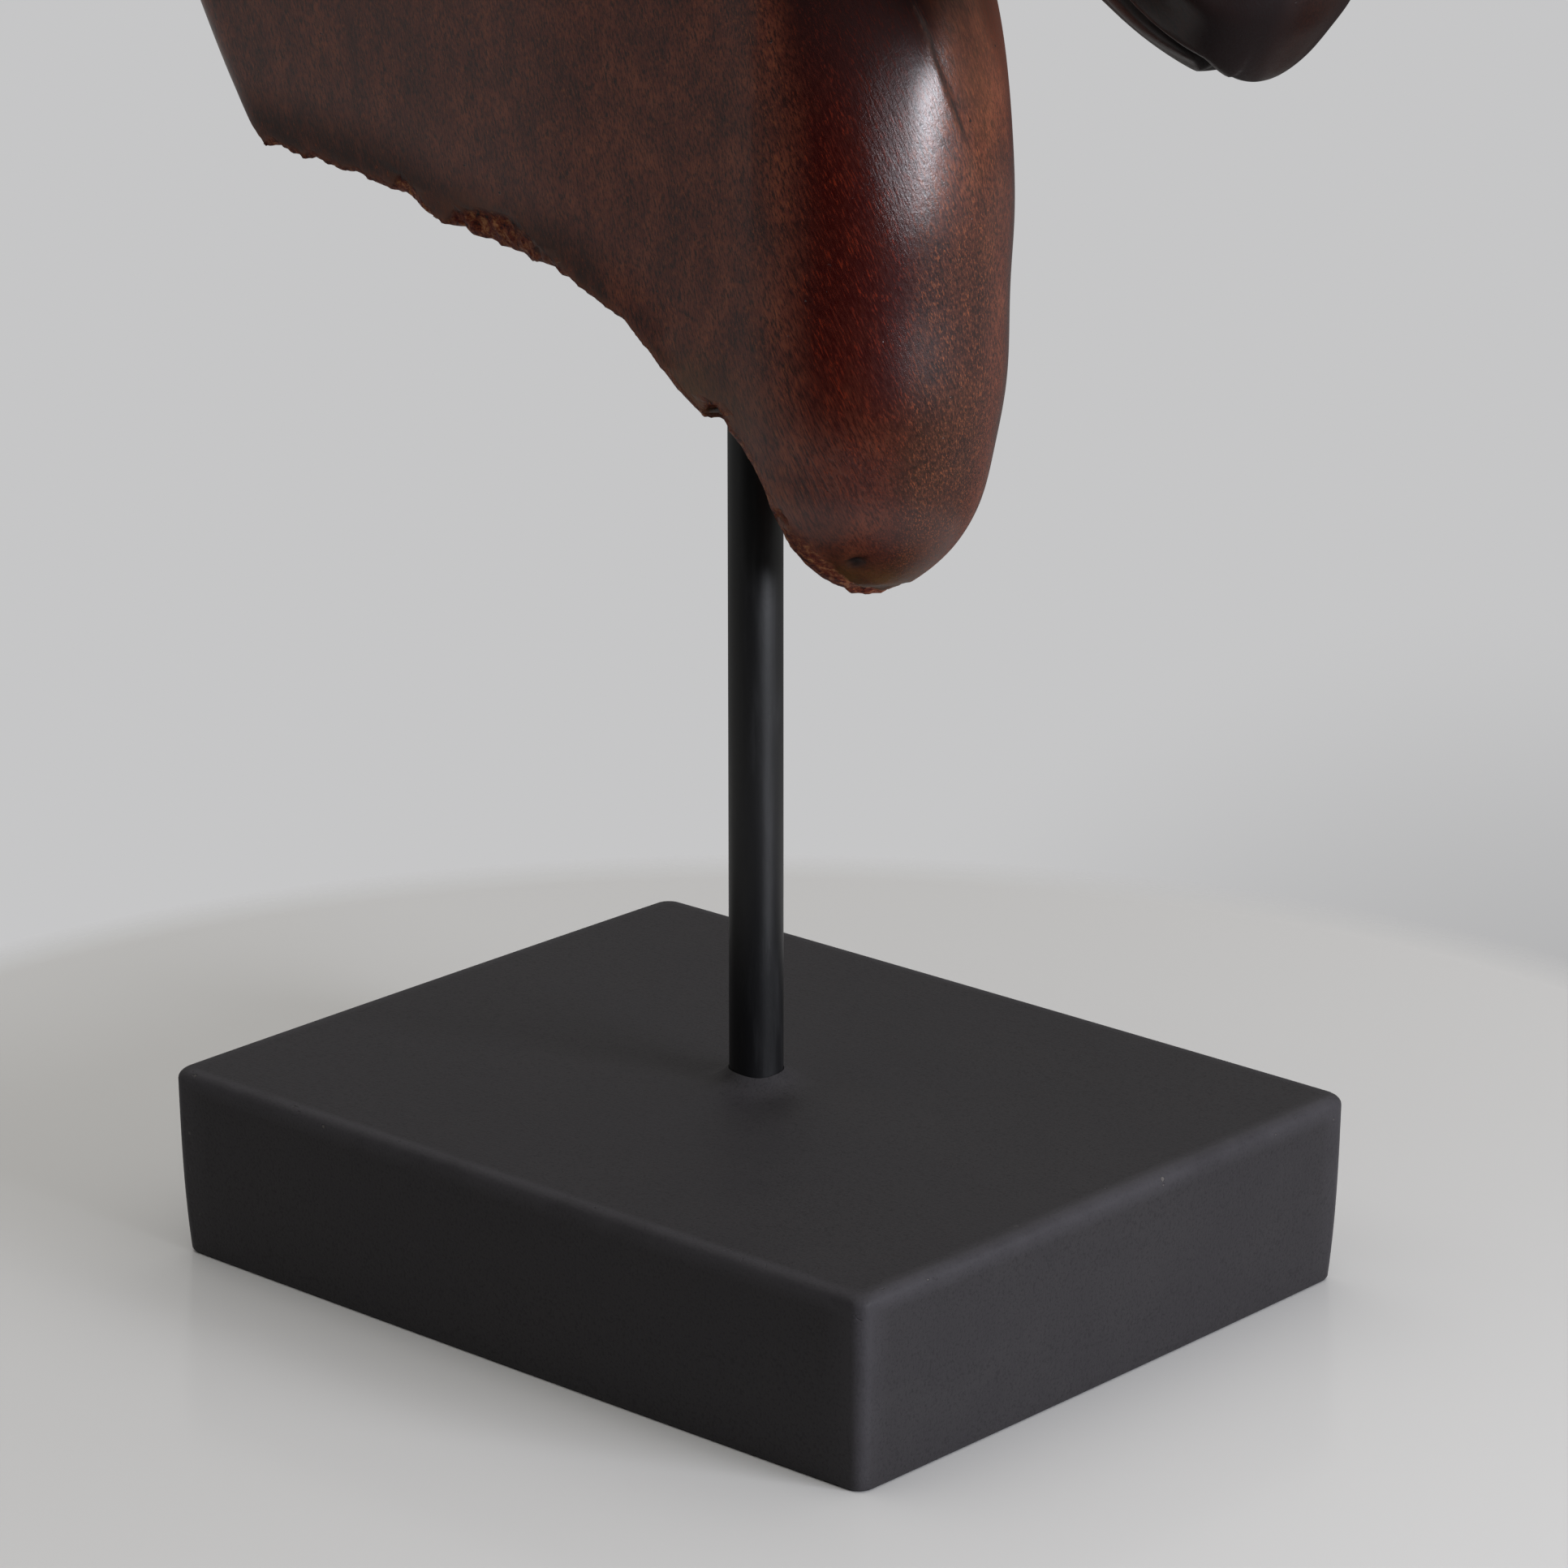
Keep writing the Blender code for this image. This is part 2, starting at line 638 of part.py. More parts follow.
def base(group, helpers, finish):
    """A soft-edged block, a little narrower at the foot, with a cove of filler round the rod."""
    bm = bmesh.new()
    bmesh.ops.create_cube(bm, size=1.0)
    block = Matrix.Diagonal((BASE_LENGTH, BASE_WIDTH, BASE_HEIGHT, 1))
    bm.transform(Matrix.Translation((0, 0, BASE_HEIGHT / 2)) @ block)
    for v in bm.verts:
        if v.co.z < BASE_HEIGHT / 2:
            v.co.x -= math.copysign(BASE_UNDERCUT, v.co.x)
            v.co.y -= math.copysign(BASE_UNDERCUT, v.co.y)
    obj = new_object("base", bm, group)
    rounding = obj.modifiers.new("soft_edges", "BEVEL")
    rounding.width = BASE_EDGE_RADIUS
    rounding.segments = 3
    rounding.limit_method = "NONE"

    inner = ROD_DIAMETER / 2 - CLEARANCE
    outer = ROD_DIAMETER / 2 + COLLAR_RADIUS
    collar = bmesh.new()
    profile = [(inner, BASE_HEIGHT + COLLAR_RADIUS)]
    for i in range(6):
        a = math.pi / 2 * i / 5
        reach = ROD_DIAMETER / 2 + CLEARANCE + (COLLAR_RADIUS - CLEARANCE) * (1 - math.cos(a))
        profile.append((reach, BASE_HEIGHT + COLLAR_RADIUS * (1 - math.sin(a))))
    profile += [(outer, BASE_HEIGHT - OVERSHOOT), (inner, BASE_HEIGHT - OVERSHOOT)]
    ring = [collar.verts.new((x, 0, z)) for x, z in profile]
    for a, b in zip(ring, ring[1:] + ring[:1]):
        collar.edges.new((a, b))
    bmesh.ops.spin(
        collar,
        geom=collar.verts[:] + collar.edges[:],
        cent=(0, 0, 0),
        axis=(0, 0, 1),
        angle=2 * math.pi,
        steps=ROD_SIDES,
        use_merge=True,
    )
    bmesh.ops.remove_doubles(collar, verts=collar.verts, dist=1e-6)
    bmesh.ops.recalc_face_normals(collar, faces=collar.faces)
    boolean(obj, cutter(new_object("collar", collar, helpers)), "UNION")

    bore = bmesh.new()
    radius = ROD_DIAMETER / 2 + CLEARANCE
    depth = 2 * BASE_HEIGHT
    bmesh.ops.create_cone(
        bore, cap_ends=True, segments=ROD_SIDES, radius1=radius, radius2=radius, depth=depth
    )
    bore.transform(Matrix.Translation((0, 0, BASE_SOCKET_FLOOR + depth / 2)))
    boolean(obj, cutter(new_object("base_socket", bore, helpers)), "DIFFERENCE")
    obj.data.materials.append(finish)
    return obj


def main():
    clear_scene()
    parts = collection("horse_head_sculpture")
    helpers = collection("cutters")
    brown = material("antiqued_brown_resin", (0.10, 0.035, 0.022), 0.38)
    black = material("satin_black_paint", (0.018, 0.018, 0.020), 0.5)
    base(parts, helpers, black)
    rod(parts, black)
    horse_head(parts, helpers, brown)
    for obj in parts.objects:
        obj.data.shade_smooth()
        obj.data.set_sharp_from_angle(angle=math.radians(40))


main()
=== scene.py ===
"""Looks of the horse head sculpture: a cast head on a black rod and block, in the CAD part's own frame."""

import math

import bmesh
import bpy
import numpy as np
from mathutils import Matrix, Quaternion, Vector, noise


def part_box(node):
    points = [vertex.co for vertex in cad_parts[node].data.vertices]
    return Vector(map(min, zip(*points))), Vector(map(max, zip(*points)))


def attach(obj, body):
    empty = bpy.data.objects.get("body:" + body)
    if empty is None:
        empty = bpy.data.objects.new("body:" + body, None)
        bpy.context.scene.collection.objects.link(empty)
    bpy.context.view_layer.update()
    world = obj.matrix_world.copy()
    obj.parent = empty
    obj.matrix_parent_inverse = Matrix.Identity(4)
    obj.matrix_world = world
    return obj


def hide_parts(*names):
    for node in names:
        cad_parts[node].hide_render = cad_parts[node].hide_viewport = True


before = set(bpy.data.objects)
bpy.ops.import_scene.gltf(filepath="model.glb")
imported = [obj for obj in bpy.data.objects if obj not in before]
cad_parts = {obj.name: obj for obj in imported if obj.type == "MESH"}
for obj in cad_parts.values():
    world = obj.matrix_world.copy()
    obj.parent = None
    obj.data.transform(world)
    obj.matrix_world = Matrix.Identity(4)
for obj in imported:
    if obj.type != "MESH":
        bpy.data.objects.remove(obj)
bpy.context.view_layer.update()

# The sculpture's own units are millimetres, with z counted from the seat.
UNIT = 0.001
SEAT_Z = 0.174
CLEARANCE = 0.0003

# Finer than the solid: the skin's grid, the rounds of smoothing, and the triangles left after thinning.
CLAY_GRID = 0.00105
BLEND_ROUNDS = 65
HEAD_TRIANGLES = 190000
ROD_SIDES = 96
ROD_CHAMFER = 0.0006

# The photo's camera, worked out from the block's corners: place, degrees down and round, lens in mm.
CAMERA_PLACE = (0.908684, -1.00027, 0.543674)
CAMERA_DOWN = 17.47
CAMERA_ROUND = 41.98
CAMERA_LENS = 141.65

# Side view of the neck, one line across it per row, from the chest up to the poll:
# crest x, crest z, crest radius, throat x, throat z, throat radius.
NECK_LINES = [
    (-40, 5, 4, 39, -2.0, 7),
    (-50, 7, 5, 43.5, -0.3, 12),
    (-62, 11, 6, 48.5, 3, 17),
    (-82, 17, 7, 54, 9, 23),
    (-104, 26, 8, 58.7, 18, 27.5),
    (-123, 38, 9, 61.5, 30, 30),
    (-142, 54, 10, 64, 46, 33),
    (-156, 75, 11, 64.2, 66, 34),
    (-169, 96, 12, 65.2, 90, 34),
    (-182, 124, 13, 61, 125, 33.5),
    (-188, 158, 14, 50.5, 155, 31.5),
    (-186, 192, 14, 42, 178, 30),
    (-176, 224, 14, 30, 196, 29),
    (-157, 252, 14.5, 18, 210, 28),
    (-131, 276, 15, 6, 222, 27),
    (-101, 294, 16, -4, 234, 26),
    (-70, 305, 17, -10, 250, 24),
    (-45, 307, 14, -8, 268, 16),
]

# The poll, where the head's own axes start: u runs down the face to the lips, v stands out of the forehead.
POLL_X, POLL_Z = -42, 308
HEAD_PITCH = math.radians(36)

# Head sections along u: u, top v, bottom v, half width of the upper part, of the lower part, roundness.
HEAD_SECTIONS = [
    (-14, -16, -60, 18, 18, 0.50),
    (0, -3, -80, 27, 27, 0.40),
    (22, 4, -94, 36, 34, 0.34),
    (45, 7.5, -101, 41, 37.5, 0.31),
    (70, 9, -102, 43, 37.5, 0.30),
    (92, 8.5, -97, 41.5, 33.5, 0.32),
    (115, 6.5, -85, 37, 28.5, 0.35),
    (140, 4.5, -71, 32, 25, 0.37),
    (165, 3.5, -60, 28.5, 23, 0.38),
    (190, 3.5, -52.5, 26.5, 22, 0.38),
    (210, 4.5, -51.5, 26.5, 24.5, 0.36),
    (228, 4, -50.3, 27.5, 26.5, 0.34),
    (241, -0.5, -47.7, 25.2, 25, 0.34),
    (250, -8, -44.5, 19.8, 20.5, 0.38),
    (255.5, -15.5, -41, 12, 12.5, 0.45),
    (257.5, -22, -36, 5, 5, 0.50),
]

# The broken lower edge in side view, from behind the crest down to the throat: x, z.
BROKEN_EDGE = [
    (-195, 76),
    (-148, 74),
    (-126, 73.5),
    (-111, 72.5),
    (-96, 70.5),
    (-82, 66),
    (-66, 64),
    (-50, 62.5),
    (-36, 61.5),
    (-25, 57.5),
    (-15, 54.5),
    (-7, 48.5),
    (2, 41.5),
    (9, 37.5),
    (16, 36.5),
    (21, 33),
    (25, 28),
    (27.5, 22),
    (29.5, 16),
    (30.7, 8),
    (31.7, 3),
    (34.0, -1),
    (38.0, -6),
]
UNDERSIDE_HOLLOW = 5.0

# Chips knocked off the broken edge: x, z, radius, side of the horse.
CHIPS = [
    (-94, 70, 2.4, -1),
    (-64, 65, 3.2, -1),
    (-52, 64, 2.8, -1),
    (-41, 61.5, 3.4, -1),
    (14, 39, 3.5, -1),
    (31, 18, 2.4, -1),
    (-120, 74, 6.0, 1),
    (-75, 66, 7.5, 1),
    (-20, 58, 5.0, 1),
    (20, 36, 5.5, 1),
]

# Flakes off the near side of the edge: how far down they reach, the y they stay on the near side of, then the
# line over each in x and z, and how steeply it slants in.
FLAKE_DROP, FLAKE_NEAR = 14, -8
FLAKES = [
    ([(-79, 66.5), (-75, 70.4), (-66, 72.4), (-56, 72.6), (-50, 70.6), (-44, 67.6), (-37, 64)], 0.16),
    ([(-99, 71), (-95, 75.8), (-90, 73.5), (-84, 68.5)], 0.2),
]

# The crease down the near side of the throat, z and y, and the slot near the tip with its two directions.
THROAT_CREASE = [(140, -14), (127, -9.9), (121, -8.9), (114, -6.8), (107.7, -4.5), (100.4, -2), (80, 3)]
TIP_SLOT = (44, -15.4, 8.6)
SLOT_ALONG = np.array([0.80, 0.50, 0.33])
SLOT_ACROSS = np.array([-0.36, -0.04, 0.93])

# The patina's brush strokes run down the neck and lean forwards: how far upright strokes are turned.
BRUSH_TURN = (math.radians(15), math.radians(-19), 0)

# Carving on the head, in u and v.
EYE_U, EYE_V, EYE_TILT = 82, -21, math.radians(-12)
EYE_LENGTH, UPPER_LID, LOWER_LID = 13.0, 7.5, 5.0
JOWL_U, JOWL_V, JOWL_RADIUS = 58, -62, 41
FACE_CREST = [(98, -36), (120, -34), (150, -31)]
MOUTH_LINE = [(256, -50), (253, -43), (249, -38), (238, -37.5), (222, -36.5), (203, -33)]
NOSTRIL_U, NOSTRIL_V, NOSTRIL_Y = 239, -12, 23.0
NOSTRIL_SIZE = (11.0, 8.0, 4.6)
NOSTRIL_TURN = math.radians(30)

MANE_START, MANE_END = 0.02, 0.80
MANE_HEIGHT, MANE_THICKNESS, MANE_LOCK = 11.0, 6.0, 7.0
EAR_LENGTH, EAR_HALF_WIDTH, EAR_HALF_DEPTH = 56.0, 12.0, 8.0
EAR_WALL, EAR_SCOOP_FORWARD = 3.6, 6.5
# The ears' foot in u and v, how far it is from the middle, and where the left one points and faces.
EAR_FOOT, EAR_ASIDE = (5, -3), 18.5
EAR_POINTS, EAR_FACES = (0.20, 0.16, 0.96), (0.84, 0.50, -0.20)
# Height as a share of the ear, then width and depth as shares of the fullest, of the leaf and of its scoop.
EAR_LEAF = [
    (-0.12, 0.95, 1.05),
    (0.10, 0.98, 0.98),
    (0.30, 1.00, 0.90),
    (0.55, 0.84, 0.70),
    (0.78, 0.52, 0.44),
    (0.93, 0.24, 0.22),
    (1.00, 0.05, 0.06),
]
EAR_SCOOP = [
    (0.06, 0.15, 0.10),
    (0.18, 0.70, 0.70),
    (0.34, 1.00, 0.98),
    (0.55, 0.88, 0.80),
    (0.76, 0.55, 0.50),
    (0.91, 0.10, 0.10),
]

# The tuft down the forehead: u, v, half width, half thickness.
FORELOCK = [
    (-12, -6, 9, 7),
    (0, 0.5, 9.5, 6.5),
    (16, 4.5, 8.5, 5),
    (32, 7, 6, 4),
    (46, 7.5, 2.5, 2.5),
    (52, 6.5, 0.8, 1),
]


def new_object(name, bm):
    mesh = bpy.data.meshes.new(name)
    bm.to_mesh(mesh)
    bm.free()
    obj = bpy.data.objects.new(name, mesh)
    bpy.context.scene.collection.objects.link(obj)
    return obj


def pick(obj):
    """Makes one object the only one selected and the active one."""
    bpy.ops.object.select_all(action="DESELECT")
    obj.select_set(True)
    bpy.context.view_layer.objects.active = obj


def apply_all(obj):
    pick(obj)
    for modifier in list(obj.modifiers):
        bpy.ops.object.modifier_apply(modifier=modifier.name)


def cut(obj, other):
    """Cuts one body out of another and throws the cutter away."""
    modifier = obj.modifiers.new("cut", "BOOLEAN")
    modifier.operation = "DIFFERENCE"
    modifier.object = other
    apply_all(obj)
    bpy.data.objects.remove(other)


def smooth_curve(points, steps):
    """A Catmull-Rom curve through rows of numbers, with so many steps from one row to the next."""
    rows = np.array(points, float)
    before = 2 * rows[0] - rows[1]
    after = 2 * rows[-1] - rows[-2]
    padded = np.vstack([before, rows, after])
    out = []
    for i in range(len(rows) - 1):
        a, b, c, d = padded[i : i + 4]
        square = 2 * a - 5 * b + 4 * c - d
        cube = 3 * b - a - 3 * c + d
        for t in np.arange(steps) / steps:
            out.append(0.5 * (2 * b + (c - a) * t + square * t**2 + cube * t**3))
    return np.array([*out, rows[-1]])


def place(points):
    """Sculpture units to metres in the part's frame."""
    return np.asarray(points, float) * UNIT + np.array([0, 0, SEAT_Z])


def unplace(points):
    return (np.asarray(points, float) - np.array([0, 0, SEAT_Z])) / UNIT


def head_point(u, v):
    """Side-view x and z of a place on the head."""
    x = POLL_X + u * math.cos(HEAD_PITCH) + v * math.sin(HEAD_PITCH)
    z = POLL_Z - u * math.sin(HEAD_PITCH) + v * math.cos(HEAD_PITCH)
    return x, z


def head_axes(x, z):
    """The head's u and v of side-view places."""
    dx, dz = x - POLL_X, z - POLL_Z
    u = dx * math.cos(HEAD_PITCH) - dz * math.sin(HEAD_PITCH)
    v = dx * math.sin(HEAD_PITCH) + dz * math.cos(HEAD_PITCH)
    return u, v


def loft(rings):
    """A closed skin over rings with the same number of points, its two ends filled."""
    bm = bmesh.new()
    rows = [[bm.verts.new(p) for p in ring] for ring in rings]
    for low, high in zip(rows, rows[1:]):
        for i in range(len(low)):
            j = (i + 1) % len(low)
            bm.faces.new((low[i], low[j], high[j], high[i]))
    bm.faces.new(rows[0][::-1])
    bm.faces.new(rows[-1])
    bmesh.ops.recalc_face_normals(bm, faces=bm.faces)
    return bm


def teardrop(length, back_radius, front_radius):
    """Half of a section with two round ends: distance from the back, half width."""
    back = [math.pi * i / 24 for i in range(13)]
    front = [math.pi * (12 - i) / 24 for i in range(13)]
    half = [(back_radius * (1 - math.cos(a)), back_radius * math.sin(a)) for a in back]
    side = np.linspace(0, 1, 21)[1:-1]
    run = length - back_radius - front_radius
    half += [(back_radius + run * t, back_radius + (front_radius - back_radius) * t) for t in side]
    half += [(length - front_radius * (1 - math.cos(a)), front_radius * math.sin(a)) for a in front]
    return half


def neck_body():
    rings = []
    for bx, bz, br, fx, fz, fr in smooth_curve(NECK_LINES, 5):
        back, front = np.array([bx, bz]), np.array([fx, fz])
        length = np.linalg.norm(front - back)
        along = (front - back) / length
        half = teardrop(length, br, fr)
        ring = [(*(back + along * d), w) for d, w in half]
        ring += [(*(back + along * d), -w) for d, w in half[-2:0:-1]]
        rings.append(place([(x, y, z) for x, z, y in ring]))
    return loft(rings)


def head_body():
    rings = []
    heights = (1 - np.cos(np.linspace(0, math.pi, 41))) / 2
    for u, top, bottom, upper, lower, roundness in smooth_curve(HEAD_SECTIONS, 5):
        half = []
        for h in heights:
            w = (lower + (upper - lower) * h) * max(0.0, math.sin(math.pi * h)) ** roundness
            half.append((w, bottom + (top - bottom) * h))
        ring = half + [(-w, v) for w, v in half[-2:0:-1]]
        rings.append(place([(head_point(u, v)[0], w, head_point(u, v)[1]) for w, v in ring]))
    return loft(rings)


def crest_line(steps):
    """The neck's crest in side view, from the poll backwards and down."""
    crest = [(row[0], row[1]) for row in NECK_LINES[:5:-1]]
    return smooth_curve(crest, steps)


def mane_body():
    """A short upright mane along the crest, which fades out at both ends."""
    path = crest_line(12)
    path = path[int(MANE_START * len(path)) : int(MANE_END * len(path))]
    slope = np.gradient(path, axis=0)
    out = np.stack([slope[:, 1], -slope[:, 0]], 1) / np.linalg.norm(slope, axis=1)[:, None]
    if out[len(out) // 2, 0] > 0:
        out = -out
    rings = []
    for i, (x, z) in enumerate(path):
        t = i / (len(path) - 1)
        swell = math.sin(math.pi * min(1, 0.08 + t * 2.2) / 2)
        fade = swell * math.sin(math.pi * min(1, (1.02 - t) * 2.6) / 2)
        height, half = MANE_HEIGHT * fade, MANE_THICKNESS * (0.45 + 0.55 * fade)
        section = [(-9, half), (0, half * 0.98), (0.6 * height, half * 0.8), (height, half * 0.35)]
        section += [(d, -w) for d, w in section[::-1]]
        rings.append(place([(x + out[i, 0] * d, w, z + out[i, 1] * d) for d, w in section]))
    return loft(rings)


def ear_body(side, rows, half_width, half_depth, forward):
    """A leaf-shaped solid from rows of EAR_LEAF or EAR_SCOOP, set so far forward of the ear's axis."""
    foot_x, foot_z = head_point(*EAR_FOOT)
    axis = Vector((EAR_POINTS[0], EAR_POINTS[1] * side, EAR_POINTS[2])).normalized()
    facing = Vector((EAR_FACES[0], EAR_FACES[1] * side, EAR_FACES[2])).normalized()
    across = axis.cross(facing).normalized()
    facing = across.cross(axis)
    rings = []
    for t, wide, deep in smooth_curve(rows, 4):
        centre = Vector((foot_x, EAR_ASIDE * side, foot_z)) + axis * (EAR_LENGTH * t)
        centre += facing * (forward + 3 * t - 3 * math.sin(math.pi * max(t, 0)))
        ring = []
        for i in range(32):
            a = 2 * math.pi * i / 32
            sideways = across * math.cos(a) * wide * half_width
            forwards = facing * math.sin(a) * deep * half_depth
            ring.append(centre + sideways + forwards)
        rings.append(place(ring))
    return loft(rings)


def forelock_body():
    """A short tuft that hangs between the ears on to the forehead."""
    rings = []
    for u, v, half, thick in smooth_curve(FORELOCK, 4):
        ring = []
        for i in range(20):
            a = 2 * math.pi * i / 20
            x, z = head_point(u, v + math.sin(a) * thick)
            ring.append((x, math.cos(a) * half, z))
        rings.append(place(ring))
    return loft(rings)


def half_width_at(x, z):
    """The neck's half width where a chip is cut, from the lines across it."""
    rows = [row for row in NECK_LINES if row[1] < 130]
    row = min(rows, key=lambda r: abs((r[1] + r[4]) / 2 - z))
    back, front = row[0] + row[2], row[3] - row[5]
    t = min(1.0, max(0.0, (x - back) / (front - back)))
    return row[2] + (row[5] - row[2]) * t


def below_the_break():
    """The block of air under the broken edge. It bulges upwards in the middle, so the underside is hollow."""
    rings = []
    for y in (-50, *np.linspace(-36, 36, 25), 50):
        ring = []
        for x, z in BROKEN_EDGE:
            lift = UNDERSIDE_HOLLOW * max(0.0, 1 - (y / half_width_at(x, z)) ** 2)
            ring.append((x, y, z + lift * min(1, max(0, (30 - x) / 30))))
        ring += [(38, y, -60), (-190, y, -60)]
        rings.append(place(ring))
    return loft(rings)


def knock_off_chips(points):
    """Pushes what lies in each chip's ball through to the far side of the ball, which leaves a scoop."""
    for x, z, radius, side in CHIPS:
        into = np.array([0, -0.72 * side, 0.69])
        centre = np.array([x, side * half_width_at(x, z), z]) - into * radius * 0.35
        away = points - centre
        along = away @ into
        reach = radius**2 - (away**2).sum(1) + along**2
        through = np.where(reach > 0, np.sqrt(np.maximum(reach, 0)) - along, 0)
        inside = (reach > 0) & (through > 0) & (along > -radius)
        points[inside] += through[inside, None] * into


def ball(name, centre, size, turn):
    """A squashed ball: half sizes along its own axes, turned about Y by so much."""
    bm = bmesh.new()
    bmesh.ops.create_uvsphere(bm, u_segments=32, v_segments=16, radius=1.0)
    shape = Matrix.Rotation(turn, 4, "Y") @ Matrix.Diagonal((*[s * UNIT for s in size], 1))
    bm.transform(Matrix.Translation(Vector(place(centre))) @ shape)
    return new_object(name, bm)


def falloff(distance, width):
    """A smooth hump: 1 at no distance, about a third at the width, nearly nothing at twice that."""
    return np.exp(-((distance / width) ** 2))


def step(value, low, high):
    """Rises smoothly from 0 at the low value to 1 at the high one."""
    t = np.clip((value - low) / (high - low), 0, 1)
    return t * t * (3 - 2 * t)


def distance_to_line(px, pz, line):
    """How far side-view places are from a bent line, and how far along it they are, from 0 to 1."""
    nearest = np.full(px.shape, 1e9)
    share = np.zeros(px.shape)
    pieces = len(line) - 1
    for i in range(pieces):
        (ax, az), (bx, bz) = line[i], line[i + 1]
        dx, dz = bx - ax, bz - az
        t = np.clip(((px - ax) * dx + (pz - az) * dz) / (dx * dx + dz * dz), 0, 1)
        gap = np.hypot(px - ax - t * dx, pz - az - t * dz)
        share = np.where(gap < nearest, (i + t) / pieces, share)
        nearest = np.minimum(gap, nearest)
    return nearest, share


def cloud(x, y, z, size, octaves=3):
    """Soft random heights between about -1 and 1, whose lumps are so many millimetres across."""
    points = np.stack([x, y, z], 1) / size
    return np.array([noise.fractal(Vector(p), 0.9, 2.1, octaves) for p in points])


def eye_relief(u, v):
    """Height of the carving round the eye: socket, brow, lids, ball and the crease over the upper lid."""
    du, dv = u - EYE_U, v - EYE_V
    p = (du * math.cos(EYE_TILT) - dv * math.sin(EYE_TILT)) / EYE_LENGTH
    q = du * math.sin(EYE_TILT) + dv * math.cos(EYE_TILT)
    arch = np.clip(1 - p**2, 0, 1)
    upper = UPPER_LID * arch**0.7
    lower = -LOWER_LID * arch**0.9
    past_corner = np.maximum(np.abs(p) - 1, 0) * EYE_LENGTH
    past_lid = np.maximum(np.maximum(q - upper, lower - q), 0)
    outside = np.hypot(past_corner, past_lid)
    inside = step(np.minimum(upper - q, q - lower), 0.1, 1.1)
    dome = np.sqrt(np.clip(1 - (p / 1.15) ** 2 - (q / 11) ** 2, 0, 1))
    wide = np.clip(1 - (p / 1.7) ** 2, 0, 1)
    # The swelling all round, the brow, and the crease between brow and lid.
    relief = 3.6 * falloff(np.hypot(p * EYE_LENGTH, q * 1.2), 20)
    relief += 2.8 * wide * falloff(q - UPPER_LID * wide - 7.5, 4.0)
    relief -= 1.5 * wide * falloff(q - UPPER_LID * wide - 3.8, 1.4) * step(q, 0, 3)
    # The lids, the ball between them, the tear corner, and the hollow above and behind the eye.
    relief += (1 - inside) * 2.0 * (1 - step(outside, 1.4, 3.6))
    relief += inside * (2.9 * dome - 1.6)
    relief -= 1.6 * falloff(np.hypot(p * EYE_LENGTH - 17, q + 2), 3.2)
    relief -= 2.2 * falloff(np.hypot(p * EYE_LENGTH + 26, q - 12), 12)
    return relief


def head_relief(u, v):
    """Height of the carving on each side of the head, out of its surface."""
    relief = eye_relief(u, v)
    # The jowl and the hollow in front of it, then the face crest and the long hollow over it.
    reach = np.hypot(u - JOWL_U, (v - JOWL_V) * 0.96)
    relief += 3.4 * (1 - step(reach, JOWL_RADIUS - 9, JOWL_RADIUS + 3)) * step(-v, 40, 74)
    relief -= 2.4 * falloff(np.hypot(u - 118, (v + 60) * 0.8), 13)
    gap, share = distance_to_line(u, v, FACE_CREST)
    relief += 2.6 * falloff(gap, 4.5) * (1 - 0.6 * share)
    relief -= 1.8 * falloff(np.hypot((u - 160) * 0.45, v + 17), 8.5)
    # The mouth: the lower lip is set back under the line, and the line is cut in, deepest in front.
    mouth_u, mouth_v = np.array(MOUTH_LINE[::-1], float).T
    gap, share = distance_to_line(u, v, MOUTH_LINE)
    under = step(np.interp(u, mouth_u, mouth_v) - v, -0.5, 1.5)
    relief -= 2.2 * under * step(u, 206, 222) * (v > -60)
    relief -= 3.6 * falloff(gap, 2.1) * np.clip(1.3 - share, 0, 1)
    # The nostril's raised rim, and the dip behind it.
    turned_u = (u - NOSTRIL_U) * math.cos(NOSTRIL_TURN) - (v - NOSTRIL_V) * math.sin(NOSTRIL_TURN)
    turned_v = (u - NOSTRIL_U) * math.sin(NOSTRIL_TURN) + (v - NOSTRIL_V) * math.cos(NOSTRIL_TURN)
    rim = np.hypot(turned_u / 13.5, turned_v / 8.0)
    relief += 1.9 * falloff(rim - 1, 0.5)
    relief -= 1.6 * falloff(np.hypot(u - 221, (v + 22) * 0.7), 7)
    return relief


def mane_relief(x, y, z):
    """Slanting grooves between the locks of the mane, and a shallow one along its foot."""
    path = crest_line(6)
    path = path[: int(MANE_END * len(path))]
    gap, share = distance_to_line(x, z, [tuple(p) for p in path])
    length = np.linalg.norm(np.diff(path, axis=0), axis=1).sum()
    outside = (z > np.interp(x, path[::-1, 0], path[::-1, 1])) | (x < path[-1, 0])
    proud = np.where(outside, gap, -gap)
    along = step(share, 0.02, 0.08) * (1 - step(share, 0.86, 0.97)) * (x < path[0, 0])
    run = share * length - 0.8 * proud + 3.2 * cloud(x, y, z, 30, 2)
    turned, part = np.divmod(run / MANE_LOCK, 1)
    fullness = 0.75 + 0.25 * np.sin(turned * 2.3)
    locks = fullness * (1.5 * np.sqrt(np.clip(part, 0, 1)) * (1 - step(part, 0.78, 1.0)) - 0.75)
    strand = (run + 1.2 * cloud(x, y, z, 9, 2)) / 2.4
    hair = 0.3 * np.abs(np.sin(np.pi * strand)) ** 0.8 - 0.18
    return along * (step(proud, 0.5, 3.5) * (locks + hair) - 0.7 * falloff(proud + 1.0, 1.5))


def read_mesh(mesh):
    """Places in sculpture units, and normals, of a mesh's points."""
    count = len(mesh.vertices)
    points, normals = np.empty(count * 3), np.empty(count * 3)
    mesh.vertices.foreach_get("co", points)
    mesh.vertices.foreach_get("normal", normals)
    return unplace(points.reshape(-1, 3)), normals.reshape(-1, 3)


